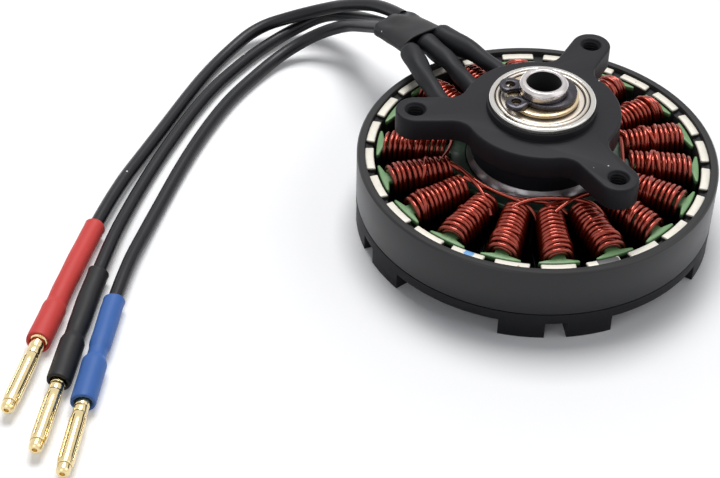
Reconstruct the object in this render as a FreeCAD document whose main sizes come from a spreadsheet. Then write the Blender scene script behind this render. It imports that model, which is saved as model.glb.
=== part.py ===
import FreeCAD, Part
import math
import os
import re

import Sketcher
from FreeCAD import Placement, Rotation, Vector

# Brushless outrunner motor, in millimetres.
# The origin is on the shaft's axis, level with the feet of the bell's lugs.
# +Z runs along the shaft towards the mount that the motor is bolted down by.

SIZES = {
    # bell
    "bell_diameter": 76.0,
    "ring_wall": 1.7,
    "ring_tall": 11.2,
    "ring_edge": 0.4,
    "lug_tall": 3.85,
    "lip_tall": 2.35,
    "rim_deep": 4.4,
    "lug_span": 14.3,
    "lug_slot": 6.8,
    "lug_pairs": 5,
    "lug_turn": 65.0,
    "spigot_tall": 0.55,
    "web_lift": 0.6,
    "web_thick": 3.0,
    "spoke_wide": 8.6,
    "hub_radius": 16.6,
    "hub_thick": 5.0,
    "boss_radius": 9.0,
    "boss_rise": 0.9,
    "cove_wall": 0.6,
    "window_inner_land": 1.0,
    "window_outer_land": 0.8,
    "window_rib_turn": 8.0,
    "prop_circle": 25.0,
    "prop_holes": 4,
    "prop_turn": 81.0,
    "tap_radius": 1.65,
    "grub_length": 5.0,
    "grub_lift": 3.1,
    "grub_socket_deep": 2.0,
    "grub_socket_radius": 1.07,
    "glue_line": 0.05,
    "cut_margin": 1.0,
    "match_play": 0.001,
    # magnets
    "magnet_pairs": 12,
    "magnet_thick": 1.85,
    "magnet_wide": 7.0,
    "magnet_tall": 10.0,
    "magnet_turn": 10.6,
    # stator
    "air_gap": 0.5,
    "core_lift": 0.35,
    "core_tall": 9.4,
    "teeth_per_phase": 6,
    "tooth_turn": 1.2,
    "neck_wide": 3.0,
    "tip_wide": 8.3,
    "tip_thick": 0.8,
    "tip_flare": 0.6,
    "tooth_bite": 0.4,
    "back_iron": 3.2,
    "coil_head": 2.7,
    "coil_inner_wide": 6.1,
    "coil_outer_wide": 7.2,
    "coil_gap": 0.5,
    "coil_tip_gap": 0.15,
    "coil_round": 1.5,
    "coil_turns": 12,
    "turn_thick": 0.62,
    "turn_rise": 0.38,
    "slot_gap": 0.15,
    "wire_thick": 1.0,
    "link_turn": 52.0,
    "riser_thick": 2.0,
    "riser_gap": 0.2,
    "tail_lift": 21.2,
    # mount
    "seat_radius": 14.95,
    "seat_rise": 1.8,
    "seat_bevel": 1.5,
    "column_radius": 14.0,
    "column_tall": 5.7,
    "plate_radius": 16.5,
    "plate_thick": 5.0,
    "collar_wall": 0.4,
    "collar_tall": 1.7,
    "arm_count": 3,
    "arm_turn": 69.2,
    "arm_wide": 8.3,
    "arm_reach": 26.0,
    "arm_fillet": 4.0,
    "edge_chamfer": 0.25,
    "hole_chamfer": 0.7,
    "shoulder_step": 1.2,
    # bearings
    "bearing_outer": 22.0,
    "bearing_wide": 6.0,
    "ball_diameter": 3.0,
    "ball_count": 11,
    "race_clear": 0.04,
    "race_land": 1.2,
    "ring_face": 1.0,
    "ring_round": 0.3,
    "shield_sink": 0.2,
    "shield_thick": 0.25,
    "shield_clear": 0.2,
    "cage_thick": 0.8,
    "cage_tall": 4.2,
    "bearing_proud": 2.85,
    "lower_bearing_lift": 0.4,
    # shaft and what holds it
    "shaft_diameter": 10.0,
    "shaft_bore": 7.0,
    "shaft_edge": 0.5,
    "bore_edge": 0.2,
    "groove_play": 0.1,
    "washer_radius": 7.4,
    "washer_thick": 0.8,
    "clip_thick": 1.0,
    "clip_groove": 0.35,
    "clip_radius": 5.95,
    "clip_offset": 1.05,
    "clip_lug_radius": 1.75,
    "clip_lug_reach": 6.9,
    "clip_lug_angle": 25.5,
    "clip_hole_radius": 0.75,
    "clip_mouth": 2.4,
    "clip_turn": 196.0,
    "shaft_stub": 2.35,
    # leads
    "lead_diameter": 3.0,
    "tail_diameter": 3.6,
    "shrink_wall": 0.8,
    "cup_shrink_wall": 0.45,
    "cup_shrink_lead": 1.2,
    "cup_shrink_step": 0.2,
    "shrink_clear": 0.02,
    "bundle_wide": 12.0,
    "bundle_narrow": 10.4,
    "bundle_thick": 4.8,
    "bundle_length": 12.8,
    # bullet connectors
    "cup_radius": 2.05,
    "cup_length": 10.0,
    "cup_wall": 0.5,
    "cup_floor": 2.0,
    "pin_collar_radius": 1.4,
    "pin_collar_length": 4.0,
    "pin_core_radius": 1.0,
    "pin_tip_radius": 1.35,
    "pin_tip_length": 2.0,
    "pin_tip_slope": 0.6,
    "pin_tip_flat": 0.9,
    "pin_tip_bore": 0.5,
    "pin_tip_bore_deep": 0.8,
    "spring_length": 13.0,
    "spring_wall": 0.25,
    "spring_bulge": 0.45,
    "spring_clear": 0.05,
    "spring_slits": 4,
    "slit_wide": 0.4,
    "slit_margin": 1.0,
}

doc = FreeCAD.newDocument("outrunner_motor")
sheet = doc.addObject("Spreadsheet::Sheet", "sizes")
for row, (alias, size) in enumerate(SIZES.items(), start=1):
    sheet.set(f"A{row}", str(size))
    sheet.setAlias(f"A{row}", alias)
doc.recompute()


def bind(text):
    """An expression in which every size's name reads its cell."""
    names = {name: f"sizes.{name}" for name in SIZES}
    return re.sub(r"[a-z_]+", lambda found: names.get(found.group(), found.group()), str(text))


def number(text):
    """What an expression comes to."""
    result = sheet.evalExpression(bind(text))
    return float(getattr(result, "Value", result))


# Sizes that follow from the driving ones.
BELL_RADIUS = "(bell_diameter / 2)"
RING_INSIDE = f"({BELL_RADIUS} - ring_wall)"
MAGNET_OUTSIDE = f"({RING_INSIDE} - glue_line)"
MAGNET_INSIDE = f"({MAGNET_OUTSIDE} - magnet_thick)"
TOOTH_RADIUS = f"({MAGNET_INSIDE} - air_gap)"
CORE_BORE = "(seat_radius + glue_line)"
SLOT_FLOOR = f"({CORE_BORE} + back_iron)"
TIP_START = f"({TOOTH_RADIUS} - tip_thick - tip_flare)"
SHAFT_RADIUS = "(shaft_diameter / 2)"
BEARING_RADIUS = "(bearing_outer / 2)"
RIM_INSIDE = f"({BELL_RADIUS} - rim_deep)"

# Heights above the lugs' feet.
SEAM = "(lug_tall + lip_tall)"
RING_TOP = f"({SEAM} + ring_tall)"
MAGNET_LOW = f"({SEAM} + spigot_tall + glue_line)"
CORE_LOW = f"({SEAM} + spigot_tall + core_lift)"
CORE_TOP = f"({CORE_LOW} + core_tall)"
COLUMN_LOW = f"({CORE_TOP} + seat_rise)"
PLATE_LOW = f"({COLUMN_LOW} + column_tall)"
PLATE_TOP = f"({PLATE_LOW} + plate_thick)"
UPPER_TOP = f"({PLATE_TOP} + bearing_proud)"
UPPER_LOW = f"({UPPER_TOP} - bearing_wide)"
LOWER_LOW = f"({CORE_LOW} + lower_bearing_lift)"
LOWER_TOP = f"({LOWER_LOW} + bearing_wide)"
WASHER_TOP = f"({UPPER_TOP} + washer_thick)"
CLIP_TOP = f"({WASHER_TOP} + clip_thick)"
SHAFT_TOP = f"({CLIP_TOP} + shaft_stub)"
HUB_TOP = "(web_lift + hub_thick)"
BOSS_TOP = f"({HUB_TOP} + boss_rise)"


def body(label, turn=None):
    """A PartDesign body that is turned about the shaft's axis."""
    made = doc.addObject("PartDesign::Body", label)
    made.Label = label
    made.AllowCompound = True
    made.Placement = Placement(Vector(0, 0, 0), Rotation(Vector(0, 0, 1), 0))
    if turn is not None:
        made.setExpression("Placement.Rotation.Angle", bind(f"({turn}) * 1 deg"))
    return made


def sketch(parent, name, role="XY_Plane", lift="0", turn="0"):
    """An empty sketch on one of the body's own origin planes."""
    drawing = parent.newObject("Sketcher::SketchObject", name)
    plane = next(item for item in parent.Origin.OriginFeatures if item.Role == role)
    drawing.AttachmentSupport = [(plane, "")]
    drawing.MapMode = "FlatFace"
    drawing.AttachmentOffset = Placement(Vector(0, 0, 0), Rotation(Vector(0, 0, 1), 0))
    drawing.setExpression("AttachmentOffset.Base.z", bind(lift))
    drawing.setExpression("AttachmentOffset.Rotation.Angle", bind(f"({turn}) * 1 deg"))
    return drawing


def tie(drawing, kind, where, text):
    """Adds one dimension to a sketch and binds it to an expression."""
    index = drawing.addConstraint(Sketcher.Constraint(kind, *where, number(text)))
    drawing.setExpression(f"Constraints[{index}]", bind(text))


def circle(drawing, radius, x="0", y="0"):
    """A circle, centred on the sketch's origin unless told otherwise."""
    spot = Vector(number(x), number(y), 0)
    edge = drawing.addGeometry(Part.Circle(spot, Vector(0, 0, 1), number(radius)), False)
    if (x, y) == ("0", "0"):
        drawing.addConstraint(Sketcher.Constraint("Coincident", edge, 3, -1, 1))
    else:
        tie(drawing, "DistanceX", (-1, 1, edge, 3), x)
        tie(drawing, "DistanceY", (-1, 1, edge, 3), y)
    tie(drawing, "Radius", (edge,), radius)


def outline(drawing, points, arcs=()):
    """A closed outline. The edges that start at the points in arcs are arcs about the origin.

    A point without an x lies on such an arc, as far out as the arc's other end.
    """
    count = len(points)
    spots = []
    for i, (x, y) in enumerate(points):
        if x is None:
            far_x, far_y = points[i - 1 if (i - 1) % count in arcs else (i + 1) % count]
            reach = math.hypot(number(far_x), number(far_y))
            spots.append(Vector(math.sqrt(reach**2 - number(y) ** 2), number(y), 0))
        else:
            spots.append(Vector(number(x), number(y), 0))
    ends = []
    for i, start in enumerate(spots):
        stop = spots[(i + 1) % count]
        if i in arcs:
            first = math.atan2(start.y, start.x)
            last = math.atan2(stop.y, stop.x)
            whole = Part.Circle(Vector(0, 0, 0), Vector(0, 0, 1), math.hypot(start.x, start.y))
            arc = Part.ArcOfCircle(whole, min(first, last), max(first, last))
            edge = drawing.addGeometry(arc, False)
            drawing.addConstraint(Sketcher.Constraint("Coincident", edge, 3, -1, 1))
            ends.append((edge, 1, 2) if first < last else (edge, 2, 1))
        else:
            ends.append((drawing.addGeometry(Part.LineSegment(start, stop), False), 1, 2))
    for i, (edge, start, stop) in enumerate(ends):
        follower = ends[(i + 1) % count]
        drawing.addConstraint(Sketcher.Constraint("Coincident", edge, stop, follower[0], follower[1]))
        x, y = points[i]
        if x is not None:
            tie(drawing, "DistanceX", (-1, 1, edge, start), x)
        tie(drawing, "DistanceY", (-1, 1, edge, start), y)


def revolve(parent, points, name="profile"):
    """Turns an outline of (radius, height) points about the body's Z axis."""
    drawing = sketch(parent, name, "XZ_Plane")
    outline(drawing, points)
    turned = parent.newObject("PartDesign::Revolution", f"turned_{name}")
    turned.Profile = drawing
    turned.ReferenceAxis = (drawing, ["V_Axis"])
    turned.Angle = 360
    return turned


def pad(parent, drawing, length):
    """Raises a sketch by a length."""
    raised = parent.newObject("PartDesign::Pad", f"pad_{drawing.Name}")
    raised.Profile = drawing
    raised.setExpression("Length", bind(length))
    drawing.Visibility = False
    return raised


def pocket(parent, drawing, depth):
    """Cuts a sketch upwards by a depth."""
    cut = parent.newObject("PartDesign::Pocket", f"cut_{drawing.Name}")
    cut.Profile = drawing
    cut.Reversed = True
    cut.setExpression("Length", bind(depth))
    return cut


def polar(parent, features, count):
    """Repeats features evenly about the body's Z axis."""
    doc.recompute()
    axis = next(item for item in parent.Origin.OriginFeatures if item.Role == "Z_Axis")
    ring = parent.newObject("PartDesign::PolarPattern", f"ring_{features[0].Name}")
    ring.Originals = features
    ring.Axis = (axis, [""])
    ring.Angle = 360
    ring.setExpression("Occurrences", bind(count))
    parent.Tip = ring
    doc.recompute()
    return ring


def edges_where(parent, test):
    """The names of the edges of a body's shape that pass a test."""
    doc.recompute()
    found = enumerate(parent.Tip.Shape.Edges, start=1)
    return [f"Edge{i}" for i, edge in found if test(edge)]


def fillet(parent, names, radius):
    """Rounds the named edges of a body."""
    rounded = parent.newObject("PartDesign::Fillet", "fillet")
    rounded.Base = (rounded.BaseFeature or parent.Tip, names)
    rounded.setExpression("Radius", bind(radius))
    return rounded


def chamfer(parent, names, size):
    """Bevels the named edges of a body."""
    bevelled = parent.newObject("PartDesign::Chamfer", "chamfer")
    bevelled.Base = (bevelled.BaseFeature or parent.Tip, names)
    bevelled.setExpression("Size", bind(size))
    return bevelled


def band(inside, outside, low, top):
    """The outline of a plain ring between two radii and two heights."""
    return [(inside, low), (outside, low), (outside, top), (inside, top)]


def sector(drawing, inside, outside, half_inside, half_outside):
    """A closed outline between two arcs, evenly about the sketch's X axis."""
    outline(
        drawing,
        [
            (f"sqrt(({inside}) ^ 2 - ({half_inside}) ^ 2)", f"-({half_inside})"),
            (f"sqrt(({outside}) ^ 2 - ({half_outside}) ^ 2)", f"-({half_outside})"),
            (None, half_outside),
            (None, half_inside),
        ],
        arcs=(1, 3),
    )


def lay_radially(primitive, turn, start, height):
    """Lays a primitive's axis along the radius at an angle, at a height."""
    primitive.AttachmentOffset = Placement()
    angle = number(turn)
    spin = Rotation(Vector(0, 0, 1), angle) * Rotation(Vector(0, 1, 0), 90)
    primitive.Placement = Placement(Vector(0, 0, 0), spin)
    primitive.setExpression("Placement.Base.x", bind(f"({start}) * cos(({turn}) * 1 deg)"))
    primitive.setExpression("Placement.Base.y", bind(f"({start}) * sin(({turn}) * 1 deg)"))
    primitive.setExpression("Placement.Base.z", bind(height))


# ---------------------------------------------------------------- bell

GRUB_SCREWS = 2


def build_flux_ring():
    ring = body("flux_ring")
    revolve(
        ring,
        [
            (RING_INSIDE, SEAM),
            (BELL_RADIUS, SEAM),
            (BELL_RADIUS, f"{RING_TOP} - ring_edge"),
            (f"{BELL_RADIUS} - ring_edge", RING_TOP),
            (RING_INSIDE, RING_TOP),
        ],
    )
    return ring


def build_bell_face():
    """The bell's front: hub, web with windows, rim with lugs, and the ring's spigot."""
    face = body("bell_face", "lug_turn")
    revolve(
        face,
        [
            (SHAFT_RADIUS, "web_lift"),
            (RIM_INSIDE, "web_lift"),
            (RIM_INSIDE, "0"),
            (BELL_RADIUS, "0"),
            (BELL_RADIUS, SEAM),
            (MAGNET_OUTSIDE, SEAM),
            (MAGNET_OUTSIDE, f"{SEAM} + spigot_tall"),
            (RIM_INSIDE, f"{SEAM} + spigot_tall"),
            (RIM_INSIDE, "web_lift + web_thick"),
            ("hub_radius", "web_lift + web_thick"),
            ("hub_radius", HUB_TOP),
            ("boss_radius", HUB_TOP),
            ("boss_radius", BOSS_TOP),
            (SHAFT_RADIUS, BOSS_TOP),
        ],
    )
    pair_pitch = "360 / lug_pairs"
    lug_reach = f"({BELL_RADIUS} + cut_margin)"
    lug_root = RIM_INSIDE
    slot = sketch(face, "lug_slot_outline")
    half_slot = "sin(lug_slot / 2 * 1 deg)"
    sector(slot, lug_root, lug_reach, f"{lug_root} * {half_slot}", f"{lug_reach} * {half_slot}")
    slots = pocket(face, slot, "lug_tall")
    gap = sketch(face, "lug_gap_outline", turn=f"{pair_pitch} / 2")
    half_gap = f"sin(({pair_pitch} / 2 - lug_slot / 2 - lug_span) * 1 deg)"
    sector(gap, lug_root, lug_reach, f"{lug_root} * {half_gap}", f"{lug_reach} * {half_gap}")
    gaps = pocket(face, gap, "web_lift")
    cove = sketch(face, "lug_cove_outline", turn=f"{pair_pitch} / 2")
    cove_root = f"({RIM_INSIDE} + cove_wall)"
    sector(cove, cove_root, lug_reach, f"{cove_root} * {half_gap}", f"{lug_reach} * {half_gap}")
    coves = pocket(face, cove, "lug_tall")
    window = sketch(face, "window_outline", lift="web_lift", turn=f"{pair_pitch} / 2")
    inside = "(hub_radius + window_inner_land)"
    outside = f"({RIM_INSIDE} - window_outer_land)"
    half_inside = f"{inside} * sin({pair_pitch} / 2 * 1 deg) - spoke_wide / 2"
    half_outside = f"{outside} * sin(({pair_pitch} / 2 - window_rib_turn) * 1 deg)"
    sector(window, inside, outside, half_inside, half_outside)
    windows = pocket(face, window, "web_thick")
    polar(face, [slots, gaps, coves, windows], "lug_pairs")
    holes = sketch(face, "prop_hole", lift="web_lift", turn="prop_turn")
    circle(holes, "tap_radius", "prop_circle / 2")
    polar(face, [pocket(face, holes, "hub_thick")], "prop_holes")
    for k in range(GRUB_SCREWS):
        axis = face.newObject("PartDesign::SubtractiveCylinder", f"grub_hole_{k}")
        lay_radially(axis, f"{pair_pitch} * ({k} + 0.5)", SHAFT_RADIUS, "grub_lift")
        axis.setExpression("Radius", bind("tap_radius"))
        axis.setExpression("Height", bind("hub_radius"))
        face.Tip = axis
    return face


def build_magnets():
    groups = []
    for k, label in enumerate(["north_magnets", "south_magnets"]):
        group = body(label, f"magnet_turn + {k} * 180 / magnet_pairs")
        drawing = sketch(group, f"{label}_outline", lift=MAGNET_LOW)
        sector(drawing, MAGNET_INSIDE, MAGNET_OUTSIDE, "magnet_wide / 2", "magnet_wide / 2")
        polar(group, [pad(group, drawing, "magnet_tall")], "magnet_pairs")
        groups.append(group)
    return groups


def build_grub_screws():
    """Two set screws that lock the hub to the shaft, as two solids."""
    screws = body("bell_grub_screws", "lug_turn")
    for k in range(GRUB_SCREWS):
        screw = screws.newObject("PartDesign::AdditiveCylinder", f"grub_screw_{k}")
        lay_radially(screw, f"360 / lug_pairs * ({k} + 0.5)", SHAFT_RADIUS, "grub_lift")
        screw.setExpression("Radius", bind("tap_radius"))
        screw.setExpression("Height", bind("grub_length"))
    for k in range(GRUB_SCREWS):
        socket = screws.newObject("PartDesign::SubtractivePrism", f"grub_socket_{k}")
        start = f"{SHAFT_RADIUS} + grub_length - grub_socket_deep"
        lay_radially(socket, f"360 / lug_pairs * ({k} + 0.5)", start, "grub_lift")
        socket.Polygon = 6
        socket.setExpression("Circumradius", bind("grub_socket_radius"))
        socket.setExpression("Height", bind("grub_socket_deep"))
    return screws


# ---------------------------------------------------------------- stator

PHASES = ["u", "v", "w"]


def build_stator_core():
    """The laminated stack, with every tooth's neck, flare and tip."""
    core = body("stator_core", "tooth_turn")
    revolve(core, band(CORE_BORE, SLOT_FLOOR, CORE_LOW, CORE_TOP), "back_iron_ring")
    tooth = sketch(core, "tooth", lift=CORE_LOW)
    root = f"{SLOT_FLOOR} - tooth_bite"
    shoulder = f"{TOOTH_RADIUS} - tip_thick"
    end = f"sqrt({TOOTH_RADIUS} ^ 2 - (tip_wide / 2) ^ 2)"
    outline(
        tooth,
        [
            (root, "-neck_wide / 2"),
            (TIP_START, "-neck_wide / 2"),
            (shoulder, "-tip_wide / 2"),
            (end, "-tip_wide / 2"),
            (None, "tip_wide / 2"),
            (shoulder, "tip_wide / 2"),
            (TIP_START, "neck_wide / 2"),
            (root, "neck_wide / 2"),
        ],
        arcs=(3,),
    )
    polar(core, [pad(core, tooth, "core_tall")], f"{len(PHASES)} * teeth_per_phase")
    return core


def coil_section(drawing, wide, sink="0"):
    """A coil in cross-section, its corners cut off, some way inside its outer face."""
    low = f"({CORE_LOW} - coil_head + {sink})"
    top = f"({CORE_TOP} + coil_head - {sink})"
    outline(
        drawing,
        [
            (f"coil_round - {wide} / 2", low),
            (f"{wide} / 2 - coil_round", low),
            (f"{wide} / 2", f"{low} + coil_round"),
            (f"{wide} / 2", f"{top} - coil_round"),
            (f"{wide} / 2 - coil_round", top),
            (f"coil_round - {wide} / 2", top),
            (f"-{wide} / 2", f"{top} - coil_round"),
            (f"-{wide} / 2", f"{low} + coil_round"),
        ],
    )


def build_windings():
    """One group of coils for each phase, on every third tooth, with a rib for each turn."""
    phases = []
    start = f"({SLOT_FLOOR} + coil_gap)"
    stop = f"({TIP_START} - coil_tip_gap)"
    pitch_out = f"(({stop} - {start}) / coil_turns)"
    wider = "((coil_outer_wide - coil_inner_wide) / coil_turns)"
    for k, phase in enumerate(PHASES):
        pitch = f"360 / ({len(PHASES)} * teeth_per_phase)"
        winding = body(f"winding_phase_{phase}", f"tooth_turn + {k} * {pitch}")
        near = sketch(winding, f"coil_{phase}_near", "YZ_Plane", lift=start)
        coil_section(near, "(coil_inner_wide - 2 * turn_rise)", "turn_rise")
        far = sketch(winding, f"coil_{phase}_far", "YZ_Plane", lift=stop)
        coil_section(far, "(coil_outer_wide - 2 * turn_rise)", "turn_rise")
        loft = winding.newObject("PartDesign::AdditiveLoft", f"coil_{phase}")
        loft.Profile = near
        loft.Sections = [far]
        shapes = [loft]
        for turn in range(SIZES["coil_turns"]):
            lift = f"{start} + {pitch_out} * ({turn} + 0.5) - turn_thick / 2"
            rib = sketch(winding, f"coil_{phase}_turn_{turn}", "YZ_Plane", lift=lift)
            coil_section(rib, f"(coil_inner_wide + {wider} * ({turn} + 0.5))")
            shapes.append(pad(winding, rib, "turn_thick"))
        hole = sketch(winding, f"coil_{phase}_hole", "YZ_Plane", lift=start)
        half = "(neck_wide / 2 + slot_gap)"
        low = f"{CORE_LOW} - slot_gap"
        top = f"{CORE_TOP} + slot_gap"
        outline(hole, [(f"-{half}", low), (half, low), (half, top), (f"-{half}", top)])
        shapes.append(pocket(winding, hole, f"{stop} - {start}"))
        polar(winding, shapes, "teeth_per_phase")
        phases.append(winding)
    return phases


def primitive(kind, name, sizes, turn="0"):
    """A Part primitive on the shaft's axis, with its sizes bound to the sheet."""
    made = doc.addObject(kind, name)
    for key, text in sizes.items():
        made.setExpression(key, bind(text))
    made.setExpression("Placement.Rotation.Angle", bind(f"({turn}) * 1 deg"))
    return made


LINK_COUNT = 6
RISER_TURNS = {"blue": 164, "black": 137, "red": 112}


def build_winding_links():
    """The wires that join the coils, and the bunches that rise to the three tails."""
    pieces = []
    link = f"({SLOT_FLOOR} + coil_gap - wire_thick / 2 - glue_line)"
    for k in range(LINK_COUNT):
        sizes = {
            "Radius1": link,
            "Radius2": "wire_thick / 2",
            "Angle3": "link_turn * 1 deg",
            "Placement.Base.z": f"{CORE_TOP} + wire_thick / 2",
        }
        turn = f"tooth_turn + {k} * 360 / {LINK_COUNT}"
        pieces.append(primitive("Part::Torus", f"link_{k}", sizes, turn))
    for name, turn in RISER_TURNS.items():
        reach = f"({CORE_BORE} + riser_thick / 2 + riser_gap)"
        sizes = {
            "Radius": "riser_thick / 2",
            "Height": f"tail_lift - tail_diameter / 2 - {CORE_TOP}",
            "Placement.Base.x": f"{reach} * cos({turn} * 1 deg)",
            "Placement.Base.y": f"{reach} * sin({turn} * 1 deg)",
            "Placement.Base.z": CORE_TOP,
        }
        pieces.append(primitive("Part::Cylinder", f"riser_{name}", sizes))
    links = doc.addObject("Part::Compound", "winding_links")
    links.Links = pieces
    return links


# ---------------------------------------------------------------- mount


def build_motor_mount():
    """Bearing column, plate and arms in one piece."""
    mount = body("motor_mount", "arm_turn")
    revolve(
        mount,
        [
            (BEARING_RADIUS, CORE_LOW),
            ("seat_radius", CORE_LOW),
            ("seat_radius", f"{COLUMN_LOW} - seat_bevel"),
            ("column_radius", COLUMN_LOW),
            ("column_radius", PLATE_LOW),
            ("plate_radius", PLATE_LOW),
            ("plate_radius", PLATE_TOP),
            (f"{BEARING_RADIUS} + collar_wall", PLATE_TOP),
            (f"{BEARING_RADIUS} + collar_wall", f"{PLATE_TOP} + collar_tall"),
            (BEARING_RADIUS, f"{PLATE_TOP} + collar_tall"),
            (BEARING_RADIUS, UPPER_LOW),
            (f"{BEARING_RADIUS} - shoulder_step", UPPER_LOW),
            (f"{BEARING_RADIUS} - shoulder_step", LOWER_TOP),
            (BEARING_RADIUS, LOWER_TOP),
        ],
    )
    arm = sketch(mount, "arm", lift=PLATE_LOW)
    half = "arm_wide / 2"
    root = "column_radius"
    outline(arm, [(root, f"-{half}"), ("arm_reach", f"-{half}"), ("arm_reach", half), (root, half)])
    tip = sketch(mount, "arm_tip", lift=PLATE_LOW)
    circle(tip, half, "arm_reach")
    polar(mount, [pad(mount, arm, "plate_thick"), pad(mount, tip, "plate_thick")], "arm_count")
    plate_low = number(PLATE_LOW)
    plate_top = number(PLATE_TOP)
    plate_radius = number("plate_radius")
    play = number("match_play")

    def meets_plate(edge):
        box = edge.BoundBox
        upright = abs(box.ZLength - number("plate_thick")) < play and box.XLength + box.YLength < play
        return upright and abs(math.hypot(box.XMin, box.YMin) - plate_radius) < play

    fillet(mount, edges_where(mount, meets_plate), "arm_fillet")

    def rims_plate(edge):
        box = edge.BoundBox
        level = abs(box.ZMin - plate_top) < play and box.ZLength < play
        spot = edge.valueAt((edge.FirstParameter + edge.LastParameter) / 2)
        return level and math.hypot(spot.x, spot.y) > plate_radius - number("cut_margin")

    chamfer(mount, edges_where(mount, rims_plate), "edge_chamfer")
    hole = sketch(mount, "arm_hole", lift=PLATE_LOW)
    circle(hole, "tap_radius", "arm_reach")
    polar(mount, [pocket(mount, hole, "plate_thick")], "arm_count")

    def rims_hole(edge):
        curve = edge.Curve
        if not isinstance(curve, Part.Circle) or abs(edge.BoundBox.ZMin - plate_top) > play:
            return False
        return abs(curve.Radius - number("tap_radius")) < play

    chamfer(mount, edges_where(mount, rims_hole), "hole_chamfer")
    return mount


# ---------------------------------------------------------------- bearings


def build_bearing(name, low):
    """A shielded deep groove ball bearing, standing on a height."""
    pitch = f"(({SHAFT_RADIUS} + {BEARING_RADIUS}) / 2)"
    middle = f"({low} + bearing_wide / 2)"
    top = f"({low} + bearing_wide)"
    outer_land = f"({pitch} + race_land)"
    inner_land = f"({pitch} - race_land)"
    seat = f"({BEARING_RADIUS} - ring_face)"
    inset = "(shield_sink + shield_thick)"
    outer = body(f"{name}_bearing_outer_ring")
    revolve(
        outer,
        [
            (outer_land, f"{low} + {inset}"),
            (seat, f"{low} + {inset}"),
            (seat, low),
            (BEARING_RADIUS, low),
            (BEARING_RADIUS, f"{top} - ring_round"),
            (f"{BEARING_RADIUS} - ring_round", top),
            (seat, top),
            (seat, f"{top} - {inset}"),
            (outer_land, f"{top} - {inset}"),
        ],
        f"{name}_outer_ring",
    )
    inner = body(f"{name}_bearing_inner_ring")
    revolve(inner, band(SHAFT_RADIUS, inner_land, low, top), f"{name}_inner_ring")
    for ring, label in [(outer, f"{name}_outer_race"), (inner, f"{name}_inner_race")]:
        race = sketch(ring, label, "XZ_Plane")
        circle(race, "ball_diameter / 2 + race_clear", pitch, middle)
        groove = ring.newObject("PartDesign::Groove", f"{label}_groove")
        groove.Profile = race
        groove.ReferenceAxis = (race, ["V_Axis"])
        groove.Angle = 360
    shields = []
    for end, height in [("top", f"({top} - {inset})"), ("bottom", f"({low} + shield_sink)")]:
        shield = body(f"{name}_bearing_{end}_shield")
        profile = band(f"({inner_land} + shield_clear)", seat, height, f"{height} + shield_thick")
        revolve(shield, profile, f"{name}_{end}_shield")
        shields.append(shield)
    balls = body(f"{name}_bearing_balls")
    ball = balls.newObject("PartDesign::AdditiveSphere", f"{name}_ball")
    ball.setExpression("Radius", bind("ball_diameter / 2"))
    cage = body(f"{name}_bearing_cage")
    half = "cage_thick / 2"
    cage_band = band(
        f"({pitch} - {half})", f"({pitch} + {half})", f"{middle} - cage_tall / 2", f"{middle} + cage_tall / 2"
    )
    revolve(cage, cage_band, f"{name}_cage")
    ball.setExpression("Placement.Base.x", bind(pitch))
    ball.setExpression("Placement.Base.z", bind(middle))
    polar(balls, [ball], "ball_count")
    cell = cage.newObject("PartDesign::SubtractiveCylinder", f"{name}_cage_cell")
    lay_radially(cell, "0", f"{pitch} - cage_thick", middle)
    cell.setExpression("Radius", bind("ball_diameter / 2 + race_clear"))
    cell.setExpression("Height", bind("cage_thick * 2"))
    polar(cage, [cell], "ball_count")
    return [outer, inner, *shields, balls, cage]


# ---------------------------------------------------------------- shaft


def build_shaft():
    shaft = body("shaft")
    bore = "(shaft_bore / 2)"
    neck = f"({SHAFT_RADIUS} - clip_groove)"
    revolve(
        shaft,
        [
            (bore, "web_lift"),
            (SHAFT_RADIUS, "web_lift"),
            (SHAFT_RADIUS, WASHER_TOP),
            (neck, WASHER_TOP),
            (neck, f"{CLIP_TOP} + groove_play"),
            (SHAFT_RADIUS, f"{CLIP_TOP} + groove_play"),
            (SHAFT_RADIUS, f"{SHAFT_TOP} - shaft_edge"),
            (f"{SHAFT_RADIUS} - shaft_edge", SHAFT_TOP),
            (f"{bore} + bore_edge", SHAFT_TOP),
            (bore, f"{SHAFT_TOP} - bore_edge"),
        ],
    )
    return shaft


def build_washers():
    """The brass shim under the clip, and the spacer under the lower bearing."""
    shim = body("brass_shim")
    revolve(shim, band(SHAFT_RADIUS, "washer_radius", UPPER_TOP, WASHER_TOP), "shim")
    spacer = body("lower_spacer")
    pitch = f"({SHAFT_RADIUS} + {BEARING_RADIUS}) / 2"
    revolve(spacer, band(SHAFT_RADIUS, f"({pitch} - race_land)", BOSS_TOP, LOWER_LOW), "spacer")
    return [shim, spacer]


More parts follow.
